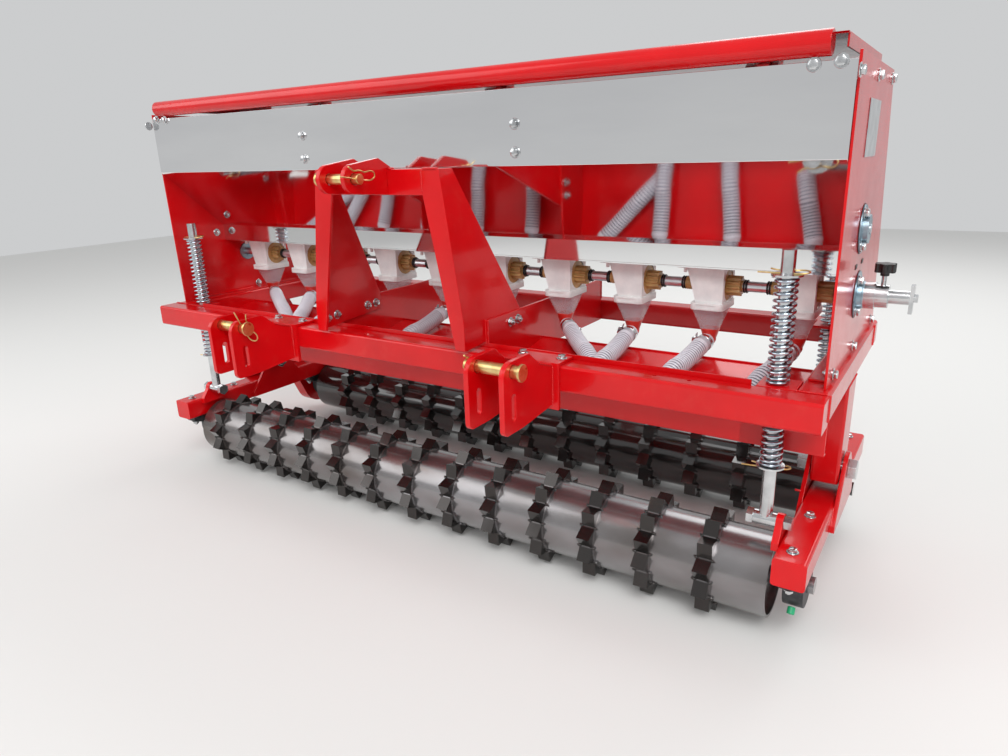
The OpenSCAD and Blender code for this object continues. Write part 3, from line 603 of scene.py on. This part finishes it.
print("clips")
clip = {
    "wire": 2.8,
    "path": [
        (0, 0, -40), (0, 0, -20), (0, 0, 0), (0, 0, 24), (0, 3, 33), (0, 10, 38), (0, 17, 33),
        (0, 18, 22), (0, 13, 12), (0, 15.5, 4), (0, 15.5, -4), (0, 12.5, -12), (0, 17, -22), (0, 19, -26),
    ],
    # rows are (x, y, z) of the middle, the way the straight leg's loop points, and the turn about it
    "pins": [
        (-300, 0, 0, (0.08, 0.4, -1), 200),
        (299, 10, -2, (-0.1, 1, -0.2), 160),
        (44, 30, 303, (0.1, 1, -0.15), 190),
    ],
    # rows are the height on each spring rod, and the lean rearwards
    "rods": [(151.5, -0.12), (-173.5, 0.1)],
    "aside": -6, "flat": 4,
}


def makeClip():
    # a round wire along the path, made as a curve and turned into a mesh
    wire = makePath(clip["path"], 6)
    wire.data.bevel_depth = clip["wire"] / 2 * mm
    wire.data.bevel_resolution = 2
    wire.data.use_fill_caps = True
    bakePlace(wire)
    bpy.ops.object.convert(target="MESH")
    smoothByAngle(bpy.context.object, 60)
    return bpy.context.object


clipMaster = makeClip()
clips = [copyTo(clipMaster, (x, y, z), axis, turn) for x, y, z, axis, turn in clip["pins"]]
for x, y in rodPlaces:
    for height, lean in clip["rods"]:
        clips.append(copyTo(clipMaster, (x + clip["aside"], y, height), (1, lean, 0.02), clip["flat"]))
removePiece(clipMaster)
settle(joinAll(clips, "clips"), "root", goldPlate, "gold_zinc")

# Hoses: ribbed tube behind a smooth cuff

print("hoses")
hose = {
    "outer": 35, "wall": 2.4, "sides": 24, "topZ": -21, "offX": 6,
    "ribPitch": 6.6, "ribDeep": 2.2,
    "ribShares": (0.2, 0.6, 0.8),   # shares of the pitch where a rib is up, starts down and is down
    # cuffShade puts the cuff on the light side of the painted shade, like the ribs
    "cuffFrom": 12, "cuffR": 15.3, "cuffTo": 46, "neck": 8, "shoulder": 5, "lap": 1.5, "cuffShade": 0.75,
    "fall": 26, "sag": 5, "sagFrom": 0.3, "sagTo": 0.7, "earlySag": 0.8,
    "onShare": 0.32, "onDrop": 20,   # past its end each hose runs on into the tray
    # how far each hose runs along X and towards the front
    "runs": [
        (150, 95), (110, 150), (30, 150), (0, 150), (0, 150),
        (0, 150), (115, 120), (0, 150), (-20, 150), (-30, 120),
    ],
}
hoseTops = [Vector((x + hose["offX"], cad["shaftY"], hose["topZ"])) for x in cupPlaces]
hoseRuns = [Vector((lean, -reach, -hose["fall"])) for lean, reach in hose["runs"]]


def markGrooveShade(piece, marks):
    # one mark for each vertex: 1 on a rib, 0 in a groove, which the hose's finish turns into painted shade
    # in the grooves
    mark = piece.data.attributes.new("rib", "FLOAT", "POINT")
    mark.data.foreach_set("value", marks)


def hoseRoute(top, run):
    # from inside the cuff down to the tray, with a sag between
    begin = top + run.normalized() * (hose["cuffTo"] - 1)
    end = top + run
    drop = Vector((0, 0, -hose["sag"]))
    on = end + Vector((run.x, run.y, 0)) * hose["onShare"] + Vector((0, 0, -hose["onDrop"]))
    early = begin.lerp(end, hose["sagFrom"]) + drop * hose["earlySag"]
    late = begin.lerp(end, hose["sagTo"]) + drop
    return makePath([begin, early, late, end, on], 12)


def makeHose(top, run):
    half, pitch = hose["outer"] / 2, hose["ribPitch"]
    low = half - hose["ribDeep"]
    up, goesDown, down = [share * pitch for share in hose["ribShares"]]
    ribs = makeTube([(0, low), (up, half), (goesDown, half), (down, low), (pitch, low)], hose["sides"], 0)
    middle = (low + half) / 2 * mm
    markGrooveShade(ribs, [1 if math.hypot(v.co.x, v.co.y) > middle else 0 for v in ribs.data.vertices])
    route = hoseRoute(top, run)
    useModifier(
        ribs, "ARRAY", fit_type="FIT_CURVE", curve=route, use_relative_offset=False,
        use_constant_offset=True, constant_offset_displace=(0, 0, pitch * mm),
        use_merge_vertices=True, merge_threshold=0.05 * mm,
    )
    useModifier(ribs, "CURVE", object=route, deform_axis="POS_Z")
    editMesh(ribs)
    faceOut()
    leaveEdit()
    useModifier(ribs, "SOLIDIFY", thickness=hose["wall"] * mm, offset=-1)
    removePiece(route)
    stop = hose["cuffTo"]
    cuff = makeTube(
        [(hose["cuffFrom"], hose["cuffR"]), (stop - hose["neck"], hose["cuffR"]),
         (stop - hose["shoulder"], half), (stop, half), (stop + hose["lap"], low)],
        hose["sides"], hose["wall"],
    )
    markGrooveShade(cuff, [hose["cuffShade"]] * len(cuff.data.vertices))
    laid = copyTo(cuff, top, run.normalized())
    removePiece(cuff)
    whole = joinAll([ribs, laid], "hose")
    smoothByAngle(whole, 60)
    return whole


hoses = [makeHose(top, run) for top, run in zip(hoseTops, hoseRuns)]
settle(joinAll(hoses, "ribbed_hoses"), "root", hosePlastic, "hose_plastic", "seed_hoses")

# Worm-drive clamps

print("clamps")
clamp = {
    "from": 19, "wide": 9, "inner": 15.4, "thick": 1.2, "housing": (15, 8, 10), "housingEase": 1.6,
    "screwR": 2.6, "screwLevel": 0.55, "neck": 2, "headFrom": 9, "headTo": 13, "headR": 4.6,
    "tailFrom": -2, "tailTo": 9, "tailThick": 1.1, "tailIn": 0.6,
    "bandEase": 0.3, "headEase": 0.5, "tailEase": 0.4,
    "turns": [240, 250, 260, 70, 80, 75, 255, 70, 75, 70],   # where each one's screw stands round its hose
}


def makeClamp():
    # a band with its screw's housing on one side and its loose tail past it
    wide, reach = clamp["wide"], clamp["inner"] + clamp["thick"]
    band = makeTube([(0, reach), (wide, reach)], 40, clamp["thick"])
    roundEdges(band, clamp["bandEase"], 1)
    long, deep, tall = clamp["housing"]
    houseLow = (-long / 2, reach - 1, (wide - tall) / 2)
    houseHigh = (long / 2, reach + deep, (wide + tall) / 2)
    house = makeBlock(houseLow, houseHigh, clamp["housingEase"])
    neck, headFrom, headTo = [
        (-long / 2 - clamp[key], reach + deep * clamp["screwLevel"], wide / 2)
        for key in ("neck", "headFrom", "headTo")
    ]
    screw = makeRod(clamp["screwR"], neck, headFrom, 12)
    head = makeRod(clamp["headR"], headFrom, headTo, 6, clamp["headEase"], 1)
    tailLow = (long / 2 + clamp["tailFrom"], reach, clamp["tailIn"])
    tailHigh = (long / 2 + clamp["tailTo"], reach + clamp["tailThick"], wide - clamp["tailIn"])
    tail = makeBlock(tailLow, tailHigh, clamp["tailEase"], 1)
    whole = joinAll([band, house, screw, head, tail], "clamp")
    smoothByAngle(whole, 35)
    return whole


clampMaster = makeClamp()
clamps = [
    copyTo(clampMaster, top + run.normalized() * clamp["from"], run, turn)
    for top, run, turn in zip(hoseTops, hoseRuns, clamp["turns"])
]
removePiece(clampMaster)
settle(joinAll(clamps, "worm_clamps"), "root", zincPlate, "zinc", "hose_clamps")

# Red spouts: a dished cone, an elbow and a spigot that the hose slips on

print("spouts")
spout = {
    "top": 19, "topZ": 1.5, "foot": 12.6, "footZ": -19, "rim": 2.2, "dish": 12, "throat": 0.7, "ease": 0.5,
    "elbowR": 12.7, "spigotR": 12.4, "spigotTo": 40,
}


def makeSpout():
    # the cone and its elbow, with the hose's axis left to the spigot
    cone = makeRod(spout["foot"], (0, 0, spout["footZ"]), (0, 0, spout["topZ"]), 32, endRadius=spout["top"])
    pickParts(cone, "FACE", lambda face: face.normal.z > 0.9)
    bpy.ops.mesh.inset(thickness=spout["rim"] * mm)
    bpy.ops.mesh.extrude_region_move(TRANSFORM_OT_translate={"value": (0, 0, -spout["dish"] * mm)})
    bpy.ops.transform.resize(value=(spout["throat"], spout["throat"], 1))
    leaveEdit()
    roundEdges(cone, spout["ease"], 1, 50)
    deselectAll()
    bpy.ops.mesh.primitive_uv_sphere_add(
        segments=32, ring_count=16, radius=spout["elbowR"] * mm, location=(0, 0, hose["topZ"] * mm))
    elbow = bpy.context.object
    bakePlace(elbow)
    return joinAll([cone, elbow], "spout")


spoutMaster = makeSpout()
spouts = []
for top, run in zip(hoseTops, hoseRuns):
    spouts.append(copyTo(spoutMaster, (top.x, top.y, 0)))
    spouts.append(makeRod(spout["spigotR"], top, top + run.normalized() * spout["spigotTo"], 32))
removePiece(spoutMaster)
spoutPiece = joinAll(spouts, "red_spouts")
smoothByAngle(spoutPiece, 40)
settle(spoutPiece, "root", redPlastic, "red_plastic", "seed_spouts")

# Clear funnels: four-sided, with a lip under the cup

print("funnels")
funnel = {
    "topHalf": 30, "topZ": 43, "lowHalf": 17.5, "lowZ": 1, "lip": 5, "wall": 1.6, "corner": 11, "offX": 6,
}


def makeFunnel():
    deselectAll()
    rise = funnel["topZ"] - funnel["lip"] - funnel["lowZ"]
    corner = math.sqrt(2)   # from half a side to a corner
    bpy.ops.mesh.primitive_cone_add(
        vertices=4, radius1=funnel["lowHalf"] * corner * mm, radius2=funnel["topHalf"] * corner * mm,
        depth=rise * mm, end_fill_type="NOTHING", location=(0, 0, (funnel["lowZ"] + rise / 2) * mm),
        rotation=(0, 0, math.radians(45)),
    )
    shell = bpy.context.object
    bakePlace(shell)
    top = max(vertex.co.z for vertex in shell.data.vertices)
    pickParts(shell, "EDGE", lambda edge: all(abs(end.z - top) < 0.05 * mm for end in endsOf(shell, edge)))
    bpy.ops.mesh.extrude_region_move(TRANSFORM_OT_translate={"value": (0, 0, funnel["lip"] * mm)})
    faceOut()
    leaveEdit()
    roundEdges(shell, funnel["corner"], 4, 50)
    useModifier(shell, "SOLIDIFY", thickness=funnel["wall"] * mm, offset=-1)
    smoothByAngle(shell, 40)
    return shell


funnelMaster = makeFunnel()
funnels = [copyTo(funnelMaster, (x + funnel["offX"], cad["shaftY"], 0)) for x in cupPlaces]
removePiece(funnelMaster)
settle(joinAll(funnels, "clear_funnels"), "root", clearPlastic, "clear_plastic", "seed_funnels")

# Cups: the CAD bodies with eased edges, their mouldings, and the fluted rolls

print("cups")
cup = {
    "flange": ((-48, 376, 123.2), (46, 390, 127)), "flangeLug": ((-37, 381, 114), (-31, 387, 123.5)),
    "flangeEase": 1.2, "skirtEase": 0.8,
    "skirt": ((-24, 384, 43), (40, 470, 56)), "skirtCorner": 11, "skirtWall": 2.4,
    "label": ((-11, 382, 46.5), (24, 385.2, 53)),
    "rimX": 36, "rimReach": 31.5, "rimThick": 2.2, "rimTop": 14, "bodyEase": 1.2,
}
roll = {
    "fluteR": 19.5, "fluteFrom": 36, "fluteTo": 62, "ribs": 12,
    "deep": 0.82,   # where the grooves' floor lies, as a share of the radius
    "fluteEase": 0.7, "roundEase": 0.8,
    # rows are the radius and the two ends along X: the disc, the hub, and the bush on the cup's left
    "rounds": [(29.3, 32.5, 36), (11, 62, 65), (13, -44, -31)],
    "collarR": 11.2, "collarThick": 1.7, "collars": (67.5, 72, -51, -46.5),
}


def makeCupTrim():
    # the parts that the plain cup body lacks, at the middle of the machine
    flange = makeBlock(*cup["flange"], cup["flangeEase"])
    lug = makeBlock(*cup["flangeLug"], cup["flangeEase"])
    skirt = makeBlock(*cup["skirt"])

    def isUpright(edge):
        one, two = endsOf(skirt, edge)
        return abs(one.x - two.x) + abs(one.y - two.y) < 0.1 * mm

    pickParts(skirt, "EDGE", isUpright)
    bpy.ops.mesh.bevel(offset=cup["skirtCorner"] * mm, segments=4, affect="EDGES")
    leaveEdit()
    pickParts(skirt, "FACE", lambda face: face.normal.z < -0.9)
    bpy.ops.mesh.delete(type="FACE")
    leaveEdit()
    useModifier(skirt, "SOLIDIFY", thickness=cup["skirtWall"] * mm, offset=-1)
    roundEdges(skirt, cup["skirtEase"], 2, 40)
    cutAway(skirt, *cup["label"])
    rimAt = (cup["rimX"], cad["shaftY"], cad["shaftZ"])
    rim = makeRing(cup["rimReach"], cup["rimThick"], rimAt, (1, 0, 0), 40)
    pickParts(rim, "VERT", lambda vertex: vertex.co.z > (cad["shaftZ"] + cup["rimTop"]) * mm)
    bpy.ops.mesh.delete(type="VERT")
    bpy.ops.mesh.select_all(action="SELECT")
    bpy.ops.mesh.fill_holes(sides=0)
    leaveEdit()
    return joinAll([flange, lug, skirt, rim], "cup_trim")


def makeRoll():
    # a fluted roll that stands out of its disc, with a hub at its end and a bush on the cup's left
    centre = Vector(((roll["fluteFrom"] + roll["fluteTo"]) / 2, cad["shaftY"], cad["shaftZ"])) * mm
    deselectAll()
    bpy.ops.mesh.primitive_cylinder_add(
        vertices=4 * roll["ribs"], radius=roll["fluteR"] * mm,
        depth=(roll["fluteTo"] - roll["fluteFrom"]) * mm, location=centre, rotation=(0, math.radians(90), 0),
    )
    flutes = bpy.context.object
    bakePlace(flutes)
    step = 2 * math.pi / roll["ribs"]

    def inGroove(vertex):
        around = math.atan2(vertex.co.z - centre.z, vertex.co.y - centre.y)
        return (around + step / 8) % step > step / 2

    pickParts(flutes, "VERT", inGroove)
    bpy.ops.transform.resize(value=(1, roll["deep"], roll["deep"]), center_override=centre)
    leaveEdit()
    roundEdges(flutes, roll["fluteEase"], 2, 40)
    parts = [flutes]
    for reach, near, far in roll["rounds"]:
        ends = [(x, cad["shaftY"], cad["shaftZ"]) for x in (near, far)]
        parts.append(makeRod(reach, *ends, 40, roll["roundEase"], 2))
    return joinAll(parts, "roll")


def makeCollars():
    # two pairs of snap rings on the shaft beside a cup
    return joinAll([
        makeRing(roll["collarR"], roll["collarThick"], (x, cad["shaftY"], cad["shaftZ"]), (1, 0, 0), 24)
        for x in roll["collars"]
    ], "collars")


def alongShaft(master, name, body, slot, angle, *replaced):
    # one copy of a master for each cup
    made = [copyTo(master, (x, 0, 0)) for x in cupPlaces]
    removePiece(master)
    whole = joinAll(made, name)
    smoothByAngle(whole, angle)
    settle(whole, body, bySlot[slot], slot, *replaced)


easedCopy("seed_cups", cup["bodyEase"])
alongShaft(makeCupTrim(), "cup_mouldings", "root", "white_plastic", 35)
alongShaft(makeRoll(), "fluted_rolls", "metering_shaft", "amber_plastic", 30, "metering_rolls")
alongShaft(makeCollars(), "shaft_collars", "metering_shaft", "black_plastic", 60)

# Rollers: folded lug strips with a tack weld at each valley

print("rollers")
roller = {
    "beadR": 4.2, "beadShape": (0.7, 1.25, 0.8), "beadSpin": 17, "weldReach": 77, "weldOut": 14.5,
    "lugs": 12, "pitch": 113, "frontFirst": -695, "frontRings": 13, "rearFirst": -638.5, "rearRings": 12,
    "parkTurn": 2.4, "ease": 1.2, "easeAngle": 25,
}


def makeRingWelds():
    # one ring's beads, on both sides of its strip, at the middle of the drum
    deselectAll()
    bpy.ops.mesh.primitive_uv_sphere_add(segments=8, ring_count=5, radius=roller["beadR"] * mm)
    bead = bpy.context.object
    bead.scale = roller["beadShape"]
    bakePlace(bead)
    beads = []
    for k in range(roller["lugs"]):
        angle = math.radians((k + 0.5) * 360 / roller["lugs"])
        out = Vector((0, math.cos(angle), math.sin(angle)))
        for side in (-1, 1):
            at = out * roller["weldReach"] + Vector((side * roller["weldOut"], 0, 0))
            beads.append(copyTo(bead, at, out, roller["beadSpin"] * k))
    removePiece(bead)
    return joinAll(beads, "ring_welds")


def rollerWelds(node, axleY, first, rings):
    # every second ring is turned by half a lug
    ring = makeRingWelds()
    made = []
    for k in range(rings):
        turn = math.radians(roller["parkTurn"] + (k + 1) % 2 * 180 / roller["lugs"])
        at = (first + k * roller["pitch"], axleY, cad["axleZ"])
        made.append(copyTo(ring, at, (0, -math.sin(turn), math.cos(turn))))
    removePiece(ring)
    whole = joinAll(made, node + "_welds")
    smoothByAngle(whole, 60)
    settle(whole, bodyOf[node], bySlot[slotOf[node]], slotOf[node])


rollerWelds("front_roller", cad["frontAxleY"], roller["frontFirst"], roller["frontRings"])
rollerWelds("rear_roller", cad["rearAxleY"], roller["rearFirst"], roller["rearRings"])
for name in ("front_roller", "rear_roller"):
    easedCopy(name, roller["ease"], angle=roller["easeAngle"])

# Plates and tubes with their edges broken

print("eased edges")
eased = {
    "hitch_bracket_left": 1.5, "hitch_bracket_right": 1.5, "mast_left": 1.2, "mast_right": 1.2,
    "mast_crossbar": 1.2, "top_clevis": 1.5, "arm_left": 1.5, "arm_right": 1.5,
    "end_plate_left": 0.8, "end_plate_right": 0.8, "lid_sheet": 0.8, "lid_tube": 0.8,
    "rail_left": 1.2, "rail_right": 1.2, "front_beam": 0.8, "rear_beam": 0.8,
    "side_tube_left": 0.8, "side_tube_right": 0.8, "leg_left": 0.8, "leg_right": 0.8,
    "rod_brackets": 1.2, "lid_hinges": 0.8, "chain_case": 2.0, "blank_plate": 0.4,
    "hitch_pins": 1.0, "pivot_bolts": 1.2, "bearing_blocks": 2.0, "spring_rods": 0.9,
    "shaft_bearings": 0.8, "rate_adjuster": 0.8, "rate_knob": 1.5, "metering_shaft": 0.5,
    "agitator_shaft": 0.5, "hopper_front": 0.6, "hopper_back": 0.6,
}
for name, width in eased.items():
    easedCopy(name, width, shaftSteel if name.endswith("_shaft") else None)

# Seed tray: its front sheet ends under the beam, and a deflector hangs behind the spring rods

print("tray")
tray = {
    "ease": 0.8,
    # two corners of each block that is cut away
    "cuts": [
        ((-900, 150, -220), (900, 189.9, -92.6)),
        ((700, 150, -220), (900, 190.1, -75.5)),
        ((-900, 150, -220), (-700, 190.1, -75.5)),
    ],
    "deflector": ((-824, 241, -149), (824, 244, -84.6)), "foldDeep": 9, "foldThick": 3,
}
easedCopy("seed_tray", tray["ease"], cuts=tray["cuts"])
low, high = tray["deflector"]
strip = makeBlock(low, high, tray["ease"])
foldHigh = (high[0], high[1] + tray["foldDeep"], low[2] + tray["foldThick"])
foot = makeBlock((low[0], high[1] - 1, low[2]), foldHigh, tray["ease"])
settle(joinAll([strip, foot], "tray_deflector"), "root", redPaint, "red_paint")

# Weld beads: short overlapping ripples along the joints

print("welds")
weld = {
    "reach": 2.6, "step": 3.6,
    # rows are the two ends of a bead on the right side
    "lines": [
        ((781.5, 187.5, -25), (781.5, 187.5, -74)), ((782, 187, -25), (830, 187, -25)),
        ((831, 187, -27), (831, 187, -73)), ((831, 697, -27), (831, 697, -73)),   # frame corners
        ((153, 117, 317), (120, 117, 317)), ((118, 118, 314), (118, 118, 272)),
        ((118, 166, 316), (118, 118, 316)), ((42, 117, 318), (42, 132, 318)),   # mast head
        ((782, 404, -75), (782, 494, -75)), ((830, 404, -75), (830, 494, -75)),   # legs
        ((769, 349, -268), (781, 349, -268)), ((781, 352, -300), (781, 546, -300)),   # arms
        ((205, 188, 28), (205, 188, -24)), ((199, 188, 28), (199, 188, -24)),
        ((205, 696, 28), (205, 696, -24)),   # rails
    ],
    # the lower hitch plates, and the (y, z) of the two ends of a bead on both faces of each
    "plates": (306.5, 376.5), "plateHalf": 6,
    "plateLines": [((128, -28), (128, -96)), ((84, -7), (128, -22))],
}


def weldLine(start, end):
    # a row of overlapping beads from start to end
    deselectAll()
    bpy.ops.mesh.primitive_ico_sphere_add(subdivisions=1, radius=weld["reach"] * mm)
    bead = bpy.context.object
    run = Vector(end) - Vector(start)
    useModifier(
        bead, "ARRAY", count=max(2, int(run.length / weld["step"])), use_relative_offset=False,
        use_constant_offset=True, constant_offset_displace=run.normalized() * weld["step"] * mm,
    )
    bead.location = Vector(start) * mm
    bakePlace(bead)
    return bead


weldEnds = list(weld["lines"])
for plate in weld["plates"]:
    for x in (plate - weld["plateHalf"], plate + weld["plateHalf"]):
        weldEnds += [((x, *start), (x, *end)) for start, end in weld["plateLines"]]
beads = [
    weldLine((side * start[0], *start[1:]), (side * end[0], *end[1:]))
    for start, end in weldEnds for side in (1, -1)
]
weldPiece = joinAll(beads, "weld_beads")
smoothByAngle(weldPiece, 80)
settle(weldPiece, "root", redPaint, "red_paint")

# Dark rims under the bearing flanges, painted shade in the end plates' slots, the grease caps and the
# adjuster's dome

print("small parts")
flangeRimAndSlotShade = {
    "reach": 41.5, "near": 821.2, "far": 822.2, "ease": 0.3,
    "slots": [(381, 141), (449, 142)], "slotNear": 820.9, "slotFar": 821.9, "slotHalves": (8.5, 4),
}
flangeRimsAndSlotShade = []
# a thin black disc behind each bearing flange shows as a dark rim round it
for side in (-1, 1):
    for y, z in ((cad["shaftY"], cad["shaftZ"]), (cad["stirY"], cad["stirZ"])):
        ends = [(side * x, y, z) for x in (flangeRimAndSlotShade["near"], flangeRimAndSlotShade["far"])]
        flangeRimsAndSlotShade.append(makeRod(flangeRimAndSlotShade["reach"], *ends, 48, flangeRimAndSlotShade["ease"], 1))
    halfY, halfZ = flangeRimAndSlotShade["slotHalves"]
    left, right = sorted((side * flangeRimAndSlotShade["slotNear"], side * flangeRimAndSlotShade["slotFar"]))
    # black blocks lie in the end plates' slots as painted shade in their openings
    for y, z in flangeRimAndSlotShade["slots"]:
        low, high = (left, y - halfY, z - halfZ), (right, y + halfY, z + halfZ)
        flangeRimsAndSlotShade.append(makeBlock(low, high, flangeRimAndSlotShade["ease"], 1))
settle(joinAll(flangeRimsAndSlotShade, "flangeRimsAndSlotShade"), "root", blackPlastic, "black_plastic")

cap = {"reach": 6.5, "long": 13, "ease": 1.6, "at": (806, 203, -417), "way": (-0.62, -0.78)}
capX, capY, capZ = cap["at"]
caps = []
for sideX in (-capX, capX):
    for y, lean in ((capY, 1), (cad["frontAxleY"] + cad["rearAxleY"] - capY, -1)):
        near = Vector((sideX, y, capZ))
        way = Vector((0, lean * cap["way"][0], cap["way"][1]))
        caps.append(makeRod(cap["reach"], near, near + way * cap["long"], 20, cap["ease"], 3))
settle(joinAll(caps, "grease_caps"), "root", greenPlastic, "black_plastic")

dome = {
    # rows are the distance from the flange along X, and the radius there
    "rings": [(0, 25), (5, 24.5), (12, 22.5), (22, 19.5), (34, 18), (37, 16.5)],
    "flangeX": 824, "wall": 2.5, "sides": 40,
}
shell = makeTube(dome["rings"], dome["sides"], dome["wall"])
laid = copyTo(shell, (dome["flangeX"], cad["shaftY"], cad["shaftZ"]), (1, 0, 0))
removePiece(shell)
smoothByAngle(laid, 40)
laid.name = "adjuster_dome"
settle(laid, "root", blueCast, "blue_grey")

# Studio, in metres

print("studio")
studio = {
    "floorSize": 14.0, "floorColour": (0.74, 0.735, 0.72), "floorRough": 0.9,
    "backColour": (0.86, 0.87, 0.88), "backStrength": 0.7,
}
deselectAll()
bpy.ops.mesh.primitive_plane_add(size=studio["floorSize"], location=(0, 0, cadBox[0].z))
floor = bpy.context.object
floor.name = "studio_floor"
bakePlace(floor)
floorMaterial = newMaterial("studio floor")[0]
floorShader = floorMaterial.node_tree.nodes["Principled BSDF"]
floorShader.inputs["Base Color"].default_value = (*studio["floorColour"], 1)
floorShader.inputs["Roughness"].default_value = studio["floorRough"]
floor.data.materials.append(floorMaterial)

world = bpy.data.worlds.new("studio world")
scene.world = world
world.use_nodes = True
background = world.node_tree.nodes["Background"]
background.inputs["Color"].default_value = (*studio["backColour"], 1)
background.inputs["Strength"].default_value = studio["backStrength"]

lamps = [
    {"name": "key", "at": (2.2, -2.6, 3.4), "aim": (0, 0.3, 0), "size": 2.6, "watts": 150},
    {"name": "fill", "at": (-3.0, -2.2, 2.2), "aim": (0, 0.3, 0), "size": 3.0, "watts": 55},
    {"name": "rear", "at": (0.5, 3.6, 3.0), "aim": (0, 0.3, 0), "size": 3.0, "watts": 70},
]
for lamp in lamps:
    data = bpy.data.lights.new(lamp["name"], "AREA")
    data.energy = lamp["watts"]
    data.size = lamp["size"]
    light = bpy.data.objects.new(lamp["name"], data)
    scene.collection.objects.link(light)
    light.location = lamp["at"]
    light.rotation_euler = (Vector(lamp["aim"]) - light.location).to_track_quat("-Z", "Y").to_euler()

view = {
    "at": (0.98068, -0.92962, 0.34098), "yaw": 33.59, "pitch": 17.6, "roll": -1.81,
    "lens": 25.407, "sensor": 36, "near": 0.05,
}
cameraData = bpy.data.cameras.new("camera")
cameraData.lens = view["lens"]
cameraData.sensor_width = view["sensor"]
cameraData.clip_start = view["near"]
camera = bpy.data.objects.new("camera", cameraData)
scene.collection.objects.link(camera)
turn = (
    Matrix.Rotation(math.radians(view["yaw"]), 4, "Z")
    @ Matrix.Rotation(math.radians(90 - view["pitch"]), 4, "X")
    @ Matrix.Rotation(math.radians(view["roll"]), 4, "Z")
)
camera.matrix_world = Matrix.Translation(view["at"]) @ turn
scene.camera = camera
scene.view_settings.view_transform = "Standard"
